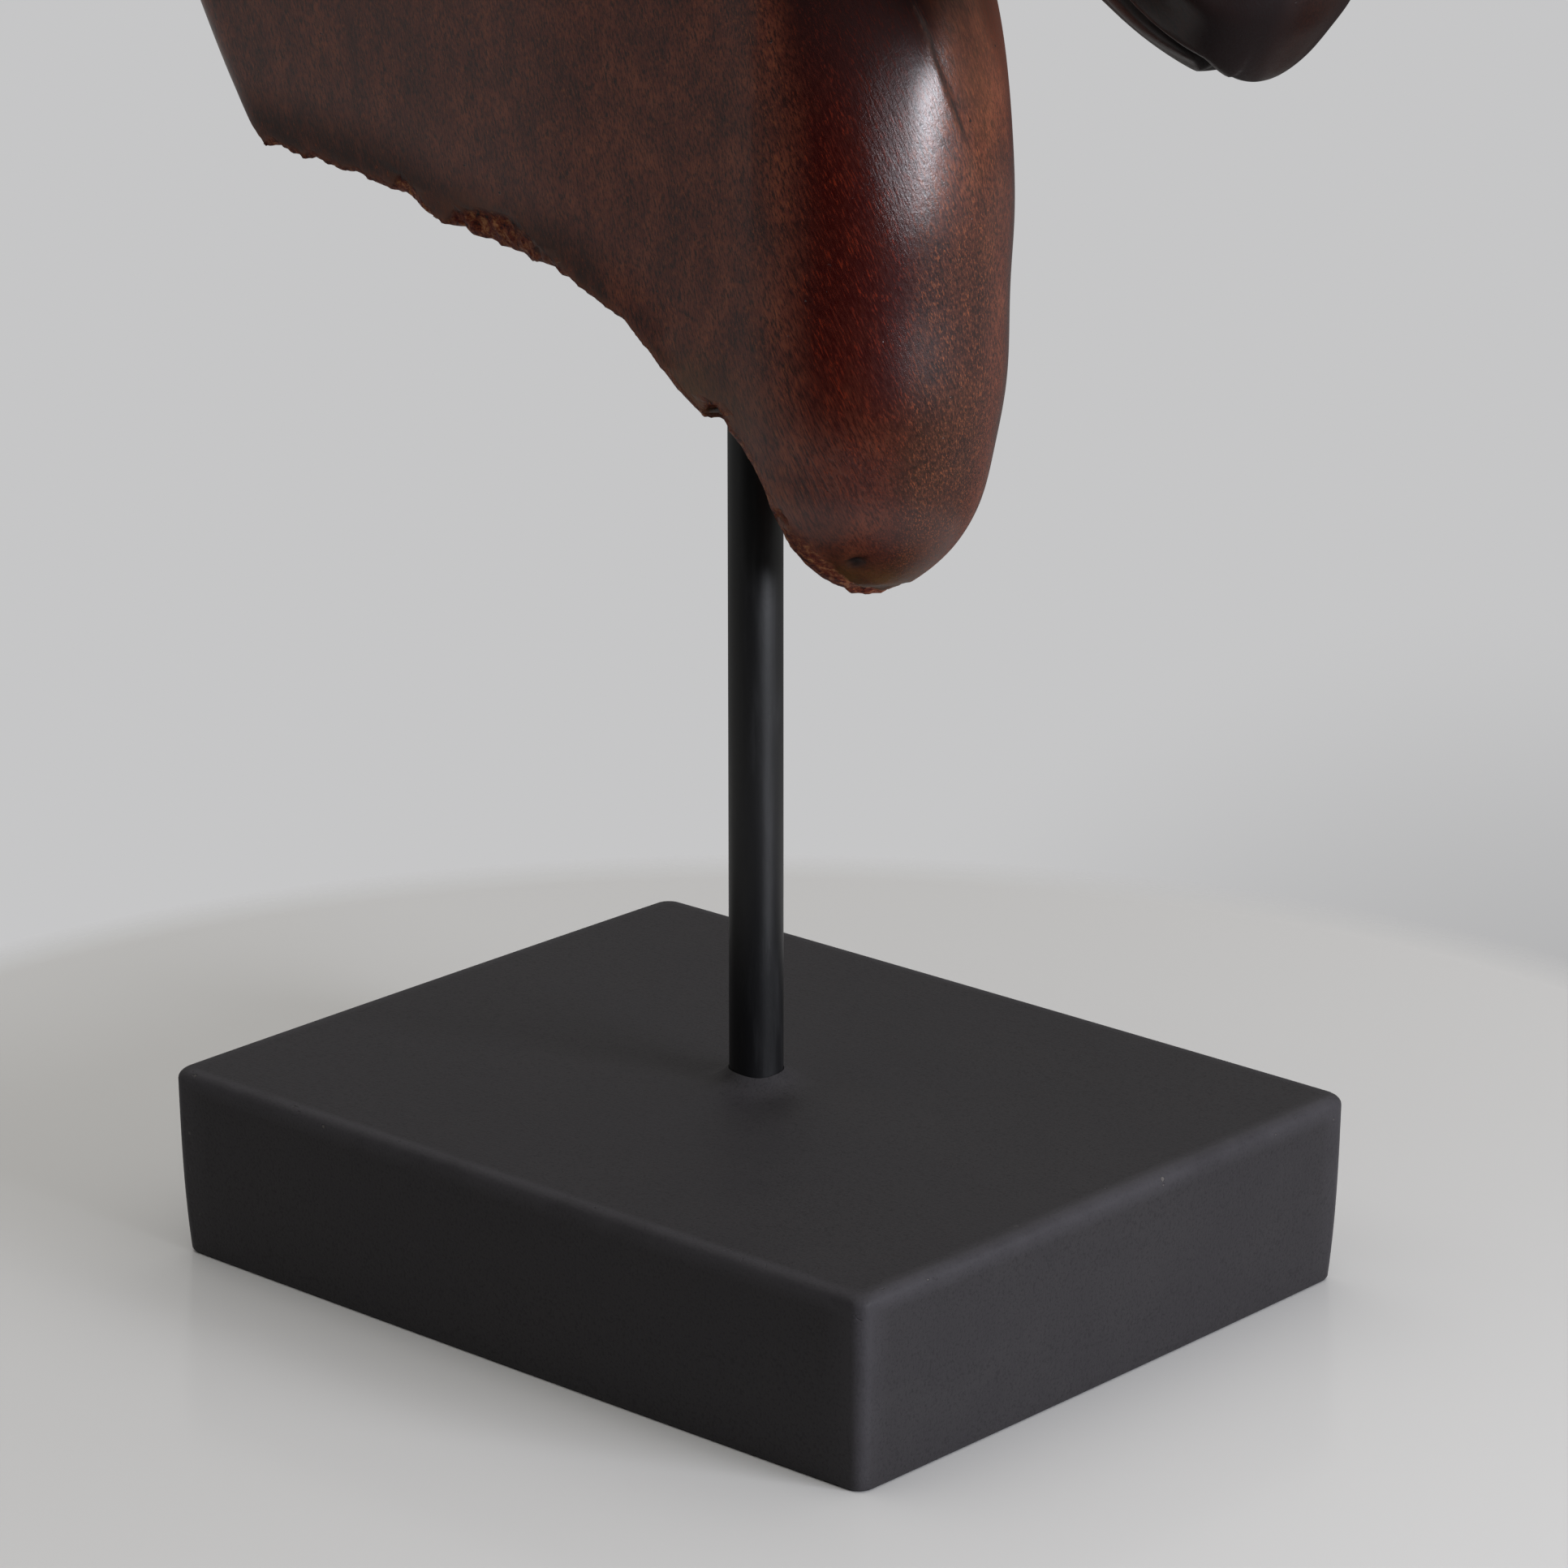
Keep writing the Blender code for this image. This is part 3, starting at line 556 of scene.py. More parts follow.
def carve(mesh):
    """Moves each point of the smooth blank out or in by the height of the carving there."""
    points, normals = read_mesh(mesh)
    x, y, z = points.T
    u, v = head_axes(x, z)
    on_head = step(u, 12, 30) * np.maximum(step(np.abs(y), 6, 14), step(u, 244, 250))
    height = head_relief(u, v) * on_head
    height += mane_relief(x, y, z)
    # The long groove between jaw and neck, down the side of the throat.
    gap, share = distance_to_line(x, z, [(8, 190), (18, 150), (16, 105)])
    height -= 1.4 * falloff(gap, 9) * np.sin(np.pi * np.clip(share + 0.15, 0, 1)) * step(np.abs(y), 12, 22)
    # The rough break, strong well inside it and slight where it meets the skin.
    edge, _ = distance_to_line(x, z, BROKEN_EDGE)
    facing_down = step(-normals[:, 2] + 0.5 * (x > 0) * -normals[:, 0], 0.25, 0.7)
    broken = facing_down * (1 - step(edge, 9, 16))
    well_in = step(-normals[:, 2], 0.8, 0.97)
    height += (1.5 * cloud(x, y, z, 9) + 0.5 * cloud(x, y, z, 2.4, 2)) * broken * (0.14 + 0.86 * well_in)
    height += throat_relief(x, y, z)
    carved = points + normals * height[:, None]
    knock_off_chips(carved)
    flake_off(carved)
    mesh.vertices.foreach_set("co", place(carved).ravel())
    mesh.update()


def beyond_crease(y, z):
    """How far places lie beyond the throat's crease, from the near side towards the front."""
    crease = np.array(THROAT_CREASE, float)
    return y - np.interp(-z, -crease[:, 0], crease[:, 1])


def throat_relief(x, y, z):
    """What the throat's near side shows: a crease beside the front plane, and the small slot near the tip."""
    past = beyond_crease(y, z)
    along = step(z, 97, 108) * (1 - step(z, 126, 140)) * step(x, 30, 45)
    height = -0.5 * step(past, -0.4, 0.7) * (1 - step(past, 4, 26)) * along
    slot = np.stack([x, y, z], 1) - np.array(TIP_SLOT)
    across = slot @ SLOT_ACROSS
    aside = slot @ SLOT_ALONG
    height -= 1.3 * falloff(across, 0.8) * falloff(aside, 2.4) * (np.abs(slot).max(1) < 8)
    return height


def flake_off(points):
    """Takes the flat flakes off the near side of the broken edge: below each line the side slants inwards."""
    for line, depth in FLAKES:
        top = np.array(line, float)
        x, y, z = points.T
        ceiling = np.interp(x, top[:, 0], top[:, 1], left=-99, right=-99)
        below = ceiling - z
        inside = (below > 0) & (below < FLAKE_DROP) & (y < FLAKE_NEAR)
        chosen = points[inside]
        rough = cloud(*chosen.T, 3.4, 4)
        lost = np.minimum(below[inside] * depth + 0.45, 1.7) + 0.95 * rough * step(below[inside], 0, 1.5)
        points[inside, 1] += np.maximum(lost, 0) * step(-chosen[:, 1], 8, 14)


def smoothing_weights(obj):
    """Soft blends between neck and head, but ears, mane and the broken edge keep their shape."""
    group = obj.vertex_groups.new(name="soft")
    points, _ = read_mesh(obj.data)
    x, y, z = points.T
    u, v = head_axes(x, z)
    gap, _ = distance_to_line(x, z, BROKEN_EDGE)
    crest, _ = distance_to_line(x, z, [tuple(p) for p in crest_line(4)])
    weight = 0.3 + 0.7 * step(gap, 3, 16)
    weight *= 1 - 0.85 * step(v, 4, 12) * (u < 40) * (np.abs(y) > 5)
    weight *= 1 - 0.75 * (1 - step(crest, 8, 16)) * (z > 110)
    weight *= 1 - 0.6 * falloff(np.hypot(u - NOSTRIL_U, v - NOSTRIL_V), 16)
    for level in range(1, 21):
        chosen = np.nonzero(np.round(weight * 20) == level)[0]
        group.add(chosen.tolist(), level / 20, "REPLACE")
    return group


def sculpture():
    """The casting: masses, one skin over all, soft blends, carving, then the rod's socket."""
    neck = new_object("neck_mass", neck_body())
    cut(neck, new_object("below_the_break", below_the_break()))
    skull = new_object("skull_mass", head_body())
    ears = []
    for side, name in ((-1, "right"), (1, "left")):
        x, z = head_point(NOSTRIL_U, NOSTRIL_V)
        nostril = ball(f"nostril_{name}", (x, side * NOSTRIL_Y, z), NOSTRIL_SIZE, HEAD_PITCH + NOSTRIL_TURN)
        cut(skull, nostril)
        leaf = ear_body(side, EAR_LEAF, EAR_HALF_WIDTH, EAR_HALF_DEPTH, 0)
        inner = EAR_HALF_WIDTH - EAR_WALL, EAR_HALF_DEPTH - EAR_WALL / 2
        ear = new_object(f"ear_mass_{name}", leaf)
        cut(ear, new_object(f"ear_scoop_{name}", ear_body(side, EAR_SCOOP, *inner, EAR_SCOOP_FORWARD)))
        ears.append(ear)
    mane = new_object("mane_mass", mane_body())
    forelock = new_object("forelock_mass", forelock_body())

    masses = bmesh.new()
    for obj in (neck, skull, mane, forelock, *ears):
        masses.from_mesh(obj.data)
        bpy.data.objects.remove(obj)
    head = new_object("sculpture_cast", masses)
    skin = head.modifiers.new("one_skin", "REMESH")
    skin.mode = "VOXEL"
    skin.voxel_size = CLAY_GRID
    apply_all(head)
    soft = smoothing_weights(head)
    blend = head.modifiers.new("blend", "SMOOTH")
    blend.factor = 0.5
    blend.iterations = BLEND_ROUNDS
    blend.vertex_group = soft.name
    apply_all(head)
    head.vertex_groups.clear()
    carve(head.data)

    fewer = head.modifiers.new("fewer_faces", "DECIMATE")
    fewer.ratio = min(1, HEAD_TRIANGLES / (2 * len(head.data.polygons)))
    apply_all(head)
    rod_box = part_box("rod")
    radius = (rod_box[1][0] - rod_box[0][0]) / 2 + CLEARANCE
    bore = bmesh.new()
    bmesh.ops.create_cone(bore, cap_ends=True, segments=ROD_SIDES, radius1=radius, radius2=radius, depth=0.2)
    bore.transform(Matrix.Translation((0, 0, rod_box[1][2] + CLEARANCE - 0.1)))
    cut(head, new_object("neck_socket", bore))
    stay_in_box(head, "horse_head")
    mark_finish(head.data)
    return head


def stay_in_box(obj, node):
    """Keeps the finer skin inside the solid's box, which it would pass by a few tenths of a millimetre."""
    low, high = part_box(node)
    for vertex in obj.data.vertices:
        for axis in range(3):
            vertex.co[axis] = min(high[axis], max(low[axis], vertex.co[axis]))


def add_layer(mesh, name, values):
    layer = mesh.attributes.new(name, "FLOAT", "POINT")
    layer.data.foreach_set("value", np.asarray(values, np.float32))


def unevenness(mesh, points, normals, rounds):
    """How far each point stands out from the average of what lies round it, in millimetres."""
    edges = np.empty(len(mesh.edges) * 2, int)
    mesh.edges.foreach_get("vertices", edges)
    a, b = edges.reshape(-1, 2).T
    count = len(points)
    links = np.bincount(a, minlength=count) + np.bincount(b, minlength=count)
    average = points.copy()
    for _ in range(rounds):
        total = np.empty_like(average)
        for axis in range(3):
            column = average[:, axis]
            total[:, axis] = np.bincount(a, column[b], count) + np.bincount(b, column[a], count)
        average = total / links[:, None]
    return ((points - average) * normals).sum(1)


def spot(points, centre, size):
    """A soft round patch about a place, with its own size along each axis."""
    away = (points - np.array(centre)) / np.array(size)
    return np.exp(-(away**2).sum(1))


def mark_finish(mesh):
    """Writes where patina, painted shade and painted sheen change on to the mesh, for the material to read.
    """
    points, normals = read_mesh(mesh)
    x, y, z = points.T
    edge, _ = distance_to_line(x, z, BROKEN_EDGE)
    beside = beyond_crease(y, z)
    # Bare resin where it is broken: the underside, and the flakes on the near side with a dark lip over each.
    facing_down = step(-normals[:, 2] + 0.5 * (x > 0) * -normals[:, 0], 0.25, 0.6)
    broken = facing_down * (1 - step(edge, 6, 10)) * (x < 40)
    lip = np.zeros_like(x)
    for line, _ in FLAKES:
        top = np.array(line, float)
        over = z - np.interp(x, top[:, 0], top[:, 1], left=-99, right=-99)
        broken = np.maximum(broken, step(-over, -0.4, 0.6) * (over > -FLAKE_DROP) * (y < FLAKE_NEAR))
        lip = np.maximum(lip, falloff(over - 0.2, 0.8) * (y < FLAKE_NEAR))
    worn = step(cloud(x, y, z, 5, 3), -0.35, 0.1)
    broken *= 1 - step(x, -58, -46) * (1 - step(x, -38, -33)) * (1 - worn) * 0.85
    add_layer(mesh, "fracture", broken)
    # Dark washes settle in hollows and on the lips, painted shade in the throat's crease and the slot, and
    # ridges are rubbed.
    stands = unevenness(mesh, points, normals, 10)
    u, v = head_axes(x, z)
    lips = step(u, 165, 225) * (v > -62)
    # Painted shade: a dark line along the throat's crease, and the slot near the tip darkened inside.
    line = falloff(beside - 0.4, 0.75) * step(z, 99, 106) * (1 - step(z, 128, 138)) * (x > 30)
    slot = spot(points, TIP_SLOT, (3.4, 2.6, 1.7))
    dark = [step(-stands, 0.05, 0.5), 0.97 * lips, 0.9 * line, 0.75 * lip, slot]
    add_layer(mesh, "hollow", np.max(dark, axis=0))
    # Painted sheen: a lighter patch on the plane beyond the throat's crease.
    rubbed = 0.4 * step(beside, 1, 5) * step(z, 92, 120) * (1 - step(z, 170, 200)) * (x > 30)
    add_layer(mesh, "ridge", np.maximum(step(stands, 0.12, 0.6) * (1 - 0.7 * lips), rubbed))
    # Ochre stains on the tip and the front.
    near_edge = 1 - step(edge, 4, 20)
    ochre = 0.7 * spot(points, (10, -29, 42), (14, 20, 9)) + 0.7 * spot(points, (40, -12, 3), (12, 14, 6))
    ochre += 0.12 * spot(points, (58, -10, 35), (12, 14, 14)) + 0.2 * spot(points, (60, 2, 112), (10, 10, 30))
    add_layer(mesh, "ochre", np.clip(ochre, 0, 1))
    # The dark red band runs down where the side turns into the throat, and widens under the jaw.
    round_from_side = np.degrees(np.arctan2(normals[:, 0], np.abs(normals[:, 1])))
    reach = 55 + 16 * step(z, 106, 130)
    band = step(round_from_side, 8, 28) * (1 - step(round_from_side, reach, reach + 14))
    band *= step(x, 15, 30) * (0.55 + 0.45 * step(z, 25, 60)) * (1 - step(z, 175, 215))
    add_layer(mesh, "oxblood", band)
    # A pale, rubbed rim along the front of the break.
    rim = (1 - step(edge, 0.9, 2.4)) * step(x, 2, 12) * (x < 36) * (y < -4)
    add_layer(mesh, "pale", rim * (0.55 + 0.45 * cloud(x, y, z, 4, 2)).clip(0, 1))
    # Round the throat from the near side, 0, over the front, 90, to the far side, 180.
    around = np.degrees(np.arctan2(normals[:, 0], -normals[:, 1]))
    # Painted shade down the front of the throat, full below z 70 and a third as much above z 105.
    front = step(around, 46, 62) * (1 - step(around, 90, 118))
    add_layer(mesh, "front", front * (1 - 0.7 * step(z, 70, 105)))
    # Painted shade: a painted shadow under the jaw in the red band, darker towards the bottom of the tip, and
    # shade on the far side.
    away_side = step(around, 94, 122) * (1 - step(around, 128, 170)) * (1 - step(z, 120, 190))
    shade = [band * step(z, 95, 150), 0.4 * (1 - step(z, 0, 42)) * (x > 10), 0.65 * away_side]
    add_layer(mesh, "deep", np.max(shade, axis=0))
    # Less wax near the break, on the lips, in the red band, beyond the crease and on the far side.
    past_crease = step(beside, 0.2, 2.0) * step(z, 85, 105) * (x > 30)
    wax = (1 - 0.88 * (1 - step(z, 2, 34)) * (x > 20)) * (1 - 0.62 * lips) * (1 - 0.8 * near_edge * (x < 0))
    wax *= (1 - 0.95 * band * step(z, 95, 130)) * (1 - 0.7 * past_crease) * (1 - 0.5 * away_side)
    wax *= 1 - 0.4 * step(z, 70, 95) * (1 - step(around, 57, 68)) * (x > 30)
    wax *= (1 - 0.35 * step(x, -60, -20) * (1 - step(x, 15, 40))) * (1 - 0.9 * slot)
    add_layer(mesh, "wax", wax)
    # Dusky patches along the back of the break and on the throat.
    dusk = near_edge * (x < -20) * 0.9
    dusk += 0.6 * spot(points, (62, 3, 113), (8, 5, 9)) + 0.5 * spot(points, (63, 10, 96), (8, 5, 8))
    add_layer(mesh, "dusk", np.clip(dusk, 0, 1))
    add_layer(mesh, "grain", np.clip(spot(points, (56, -20, 108), (14, 7, 22)) + 0.25, 0, 1))


def rod():
    """The straight bar, turned at its ends."""
    low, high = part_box("rod")
    radius = (high[0] - low[0]) / 2
    bpy.ops.object.select_all(action="DESELECT")
    bpy.ops.mesh.primitive_cylinder_add(
        vertices=ROD_SIDES, radius=radius, depth=high[2] - low[2], location=(0, 0, (low[2] + high[2]) / 2)
    )
    bar = bpy.context.object
    bar.name = "rod_bar"
    bpy.ops.object.transform_apply(location=True, rotation=True, scale=True)
    bevel = bar.modifiers.new("turned_ends", "BEVEL")
    bevel.width = ROD_CHAMFER
    bevel.segments = 3
    bevel.limit_method = "ANGLE"
    bevel.angle_limit = math.radians(60)
    apply_all(bar)
    bpy.ops.object.shade_smooth_by_angle(angle=math.radians(35))
    return bar


# Block, in millimetres: height, radius of the upright corners and of the top rim, how far the sides lean in
# at the foot and bow out in the middle, the socket's floor and its slack all round, and the cove's rise.
BLOCK_TOP = 46.0
BLOCK_CORNER = 3.5
BLOCK_RIM = 2.6
BLOCK_LEAN = 1.5
BLOCK_BOW = 0.4
SOCKET_FLOOR = 16.0
SOCKET_SLACK = 0.15
FOOT_RISE = 3.3

# Soft folds in the top's paint: degrees round from +X in which each runs out, width, height and reach.
BLOCK_FOLDS = [
    (40, 5.5, -0.42, 105),
    (196, 5.0, -0.40, 95),
    (262, 9.0, 0.42, 70),
    (318, 7.5, -1.2, 32),
    (205, 2.2, 0.75, 15),
    (120, 8.0, 0.30, 60),
]


def block_outline(half_x, half_y):
    """The block's plan as points anticlockwise from the middle of +X: bowed sides, round corners."""
    corner = np.radians(np.arange(0, 91, 11.25))
    points = []
    for turn in range(4):
        angle = turn * math.pi / 2
        along, across = (half_x, half_y) if turn % 2 == 0 else (half_y, half_x)
        side = np.linspace(-1, 1, 27)[1:-1] * (across - BLOCK_CORNER)
        quarter = [(along - BLOCK_BOW * (s / across) ** 2, s) for s in side]
        reach_a, reach_b = along - BLOCK_BOW - BLOCK_CORNER, across - BLOCK_BOW - BLOCK_CORNER
        for a in corner:
            quarter.append((reach_a + BLOCK_CORNER * math.cos(a), reach_b + BLOCK_CORNER * math.sin(a)))
        cosine, sine = math.cos(angle), math.sin(angle)
        points += [(x * cosine - y * sine, x * sine + y * cosine) for x, y in quarter]
    return np.array(points)


def top_height(x, y):
    """How far the painted top stands above its plane: the rod's cove, the folds, and a slight waviness."""
    r = np.hypot(x, y)
    height = FOOT_RISE * np.exp(-np.maximum(r - 6.7, 0) / 2.1)
    for angle, width, rise, reach in BLOCK_FOLDS:
        a = math.radians(angle)
        ahead, aside = x * math.cos(a) + y * math.sin(a), -x * math.sin(a) + y * math.cos(a)
        spread = width * (0.6 + np.clip(ahead, 0, None) / 45)
        height += rise * falloff(aside, spread) * step(ahead, 2, 12) * (1 - step(ahead, reach * 0.35, reach))
    flat = np.zeros_like(x)
    return height + 0.22 * cloud(x, y, flat, 38, 2) * step(r, 12, 30)


def block():
    """The block, in rings of points: out of the rod's socket, over the top, down the sides and under."""
    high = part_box("base")[1]
    plan = block_outline(high[0] / UNIT, high[1] / UNIT)
    angles = np.arctan2(plan[:, 1], plan[:, 0])
    circle = np.stack([np.cos(angles), np.sin(angles)], 1)
    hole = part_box("rod")[1][0] / UNIT + SOCKET_SLACK

    def ring(scale, z):
        return np.column_stack([plan * scale, np.full(len(plan), z)])

    def moved_in(distance, z):
        """The plan moved in by so much on every side."""
        shrink = 1 - distance / np.array([high[0] / UNIT, high[1] / UNIT])
        return ring(shrink, z)

    rows = [np.column_stack([circle * hole, np.full(len(plan), SOCKET_FLOOR)])]
    rim = moved_in(BLOCK_RIM, BLOCK_TOP)
    spread = np.concatenate([np.linspace(0, 0.11, 14), np.linspace(0.13, 1, 40)])
    for t in spread:
        flat = circle * hole * (1 - t) + rim[:, :2] * t
        rise = top_height(*flat.T)
        rows.append(np.column_stack([flat, BLOCK_TOP + rise * (1 - step(np.full(len(flat), t), 0.93, 1))]))
    for i in range(1, 7):
        a = math.pi / 2 * i / 6
        rows.append(moved_in(BLOCK_RIM * (1 - math.sin(a)), BLOCK_TOP - BLOCK_RIM * (1 - math.cos(a))))
    for t in np.linspace(0, 1, 15)[1:]:
        lean = BLOCK_LEAN * (0.35 * t + 0.65 * t**3)
        rows.append(moved_in(lean, (BLOCK_TOP - BLOCK_RIM) * (1 - t) + 0.9 * t))
    rows.append(moved_in(BLOCK_LEAN + 0.35, 0.25))
    rows.append(moved_in(BLOCK_LEAN + 1.0, 0.0))

    obj = new_object("block_painted", loft([row * UNIT for row in rows]))
    pick(obj)
    bpy.ops.object.shade_smooth_by_angle(angle=math.radians(40))
    return obj


def mark_edges(mesh):
    """Writes on to the block how near each point is to its outer edges: painted sheen and rubbed nicks."""
    points, _ = read_mesh(mesh)
    x, y, z = points.T
    z = z + SEAT_Z / UNIT
    half = np.array([np.abs(x).max(), np.abs(y).max()])
    inward = np.stack([half[0] - np.abs(x), half[1] - np.abs(y)], 1)
    rim = 1 - step(np.hypot(inward.min(1), BLOCK_TOP - z), 2, 4.5)
    upright = 1 - step(inward.max(1), 2.5, 6)
    add_layer(mesh, "edge", np.maximum(rim, upright))


def srgb(code):
    """A hex colour turned to linear light."""
    parts = [int(code[i : i + 2], 16) / 255 for i in (1, 3, 5)]
    return (*[c / 12.92 if c <= 0.04045 else ((c + 0.055) / 1.055) ** 2.4 for c in parts], 1)


def add(tree, kind, sockets=None, stops=None, **settings):
    """Adds a node with its settings. Each socket takes a value, or another node's output."""
    node = tree.nodes.new("ShaderNode" + kind)
    for name, value in settings.items():
        setattr(node, name, value)
    for key, value in (sockets or {}).items():
        if isinstance(value, bpy.types.Node):
            value = next(out for out in value.outputs if out.enabled)
        if isinstance(value, bpy.types.NodeSocket):
            tree.links.new(value, node.inputs[key])
        else:
            node.inputs[key].default_value = value
    if stops:
        ramp = node.color_ramp
        while len(ramp.elements) < len(stops):
            ramp.elements.new(0.5)
        for element, (position, colour) in zip(ramp.elements, stops):
            element.position = position
            element.color = srgb(colour)
    return node


def new_material(name):
    made = bpy.data.materials.new(name)
    made.use_nodes = True
    made.node_tree.nodes.clear()
    return made, made.node_tree


def pattern(tree, millimetres, detail, roughness=0.55, turn=(0, 0, 0)):
    """Noise whose cells have these sizes in millimetres along their own axes, turned by so much."""
    size = [m * UNIT for m in millimetres]
    cells = {0: add(tree, "TexCoord").outputs["Object"], "Rotation": turn, "Scale": size}
    stretched = add(tree, "Mapping", cells, vector_type="TEXTURE")
    sockets = {"Vector": stretched, "Scale": 1.0, "Detail": detail, "Roughness": roughness}
    return add(tree, "TexNoise", sockets)


def share_of(tree, most, *sources):
    """The most, times each source: a layer, or brackets with a pattern and two of its values.

    The share grows from 0, or a fourth thing in the brackets, at the first value to 1 at the second.
    """
    for source in sources:
        if isinstance(source, tuple):
            rise = dict(enumerate(source))
            source = add(tree, "MapRange", rise, interpolation_type="SMOOTHSTEP")
        most = add(tree, "Math", {0: most, 1: source}, operation="MULTIPLY")
    return most


def painted(tree, colour, washes):
    """Lays washes over a colour, each a tint and how much of it there is."""
    for tint, *amount in washes:
        tint = srgb(tint) if isinstance(tint, str) else tint
        colour = add(tree, "Mix", {0: share_of(tree, *amount), 6: colour, 7: tint}, data_type="RGBA")
    return colour


def relief_of(tree, heights):
    """A bump from heights in millimetres, each an amount and what it multiplies."""
    total = 0.0
    for amount, height in heights:
        total = add(tree, "Math", {0: height, 1: amount, 2: total}, operation="MULTIPLY_ADD")
    return add(tree, "Bump", {"Strength": 1.0, "Distance": UNIT, "Height": total})


def resin_material():
    """Cast resin under many thin red-brown washes and wax: a deep soft gloss over fine orange strokes."""
    made, tree = new_material("antiqued_cast_resin")
    layers = "fracture hollow ridge ochre oxblood dusk grain pale front deep wax"
    mark = {}
    for name in layers.split():
        mark[name] = add(tree, "Attribute", attribute_name=name).outputs["Fac"]
    mottle = pattern(tree, (8, 8, 12), 5, 0.6)
    drift = pattern(tree, (3.2, 3.2, 7.5), 4, 0.6, BRUSH_TURN)
    strokes = pattern(tree, (0.36, 0.36, 2.6), 4, 0.7, BRUSH_TURN)
    scuffs = pattern(tree, (0.6, 0.6, 4.2), 5, 0.7, BRUSH_TURN)
    crumbs = pattern(tree, (1.1, 1.1, 1.1), 4, 0.7)
    rubble = pattern(tree, (1.7, 1.7, 1.5), 6, 0.75)
    rust = pattern(tree, (4.5, 4.5, 3.5), 3, 0.6)
    specks = pattern(tree, (1.6, 1.6, 1.6), 1, 0.5)

    browns = [(0.34, "#55241A"), (0.5, "#6C3122"), (0.68, "#84442E")]
    ground = add(tree, "ValToRGB", {0: mottle}, stops=browns)
    tan = (strokes, 0.54, 0.62), (drift, 0.36, 0.66, 0.35)
    # From the first wash to the last: its colour, how much of it at most, and where.
    washes = [
        # Painted shade down the front of the throat.
        ("#1C0B0A", 0.72, mark["front"]),
        ("#1C0A07", 0.8, (scuffs, 0.53, 0.39)),
        ("#150605", 0.75, (strokes, 0.47, 0.38)),
        ("#96502C", 0.75, *tan),
        ("#8A5538", 0.4, (scuffs, 0.58, 0.67)),
        ("#300301", 0.92, mark["oxblood"]),
        ("#7C2208", 0.68, mark["oxblood"], *tan),
        # Painted shadow under the jaw, painted shade on the far side of the throat, and darker towards the
        # tip's bottom.
        ("#1A0301", 0.8, mark["deep"], (drift, 0.3, 0.6, 0.6)),
        ("#5C4217", 0.95, mark["ochre"], (mottle, 0.3, 0.6, 0.37)),
        ("#2A1711", 0.95, mark["dusk"], (drift, 0.3, 0.6, 0.47)),
        ("#B0532A", 0.75, mark["dusk"], (strokes, 0.6, 0.7)),
        # Rubbed ridges, and a painted sheen on the plane beyond the throat's crease.
        ("#8A5034", 0.5, mark["ridge"]),
        # Dark wash in hollows and on the lips, and painted shade along the throat's crease and in the slot.
        ("#100606", 0.95, mark["hollow"]),
        ("#A88478", 0.9, mark["pale"]),
        ("#0C0404", 0.9, (specks, 0.79, 0.83)),
    ]
    skin = painted(tree, ground, washes)
    heap = [(0.38, "#120403"), (0.44, "#661F10"), (0.52, "#964828"), (0.64, "#D08E5C")]
    crumbled = add(tree, "ValToRGB", {0: rubble}, stops=heap)
    reddened = painted(tree, crumbled, [("#6E150B", 0.6, (rust, 0.48, 0.62))])
    bump = relief_of(
        tree,
        [
            (0.03, strokes),
            (0.05, drift),
            (share_of(tree, 0.12, mark["grain"]), crumbs),
            (share_of(tree, 0.12, mark["grain"]), scuffs),
            (share_of(tree, 1.5, mark["fracture"]), rubble),
            (share_of(tree, -0.12, (specks, 0.77, 0.84)), 1.0),
        ],
    )
    whole = add(tree, "Math", {0: 1.0, 1: mark["fracture"]}, operation="SUBTRACT")
    dull = add(tree, "MapRange", {0: strokes, 1: 0.35, 2: 0.65, 3: 0.36, 4: 0.50})
    shader = {
        "Base Color": painted(tree, skin, [(reddened, 1.0, mark["fracture"])]),
        "Roughness": add(tree, "Math", {0: dull, 1: share_of(tree, 0.35, mark["deep"])}),
        "Specular IOR Level": 0.22,
        "Coat Weight": share_of(tree, 0.9, whole, mark["wax"]),
        "Coat Roughness": 0.17,
        "Normal": bump,
        "Coat Normal": bump,
    }
    add(tree, "OutputMaterial", {0: add(tree, "BsdfPrincipled", shader)})
    return made


def rod_material():
    """Steel bar sprayed satin black: a dry, even skin on which the window makes one soft upright band."""
    made, tree = new_material("satin_black_sprayed_steel")
    peel = pattern(tree, (1.3, 1.3, 1.6), 3)
    rubbed = pattern(tree, (3, 3, 26), 3)
    dust = pattern(tree, (0.5, 0.5, 0.5), 1)
    washes = [("#242426", 0.5, (rubbed, 0.5, 0.75)), ("#4A4846", 0.4, (dust, 0.80, 0.84))]
    shader = {
        "Base Color": painted(tree, srgb("#0B0B0D"), washes),
        "Roughness": add(tree, "MapRange", {0: rubbed, 1: 0.3, 2: 0.7, 3: 0.40, 4: 0.47}),
        "Normal": relief_of(tree, [(0.02, peel)]),
    }
    add(tree, "OutputMaterial", {0: add(tree, "BsdfPrincipled", shader)})
    return made


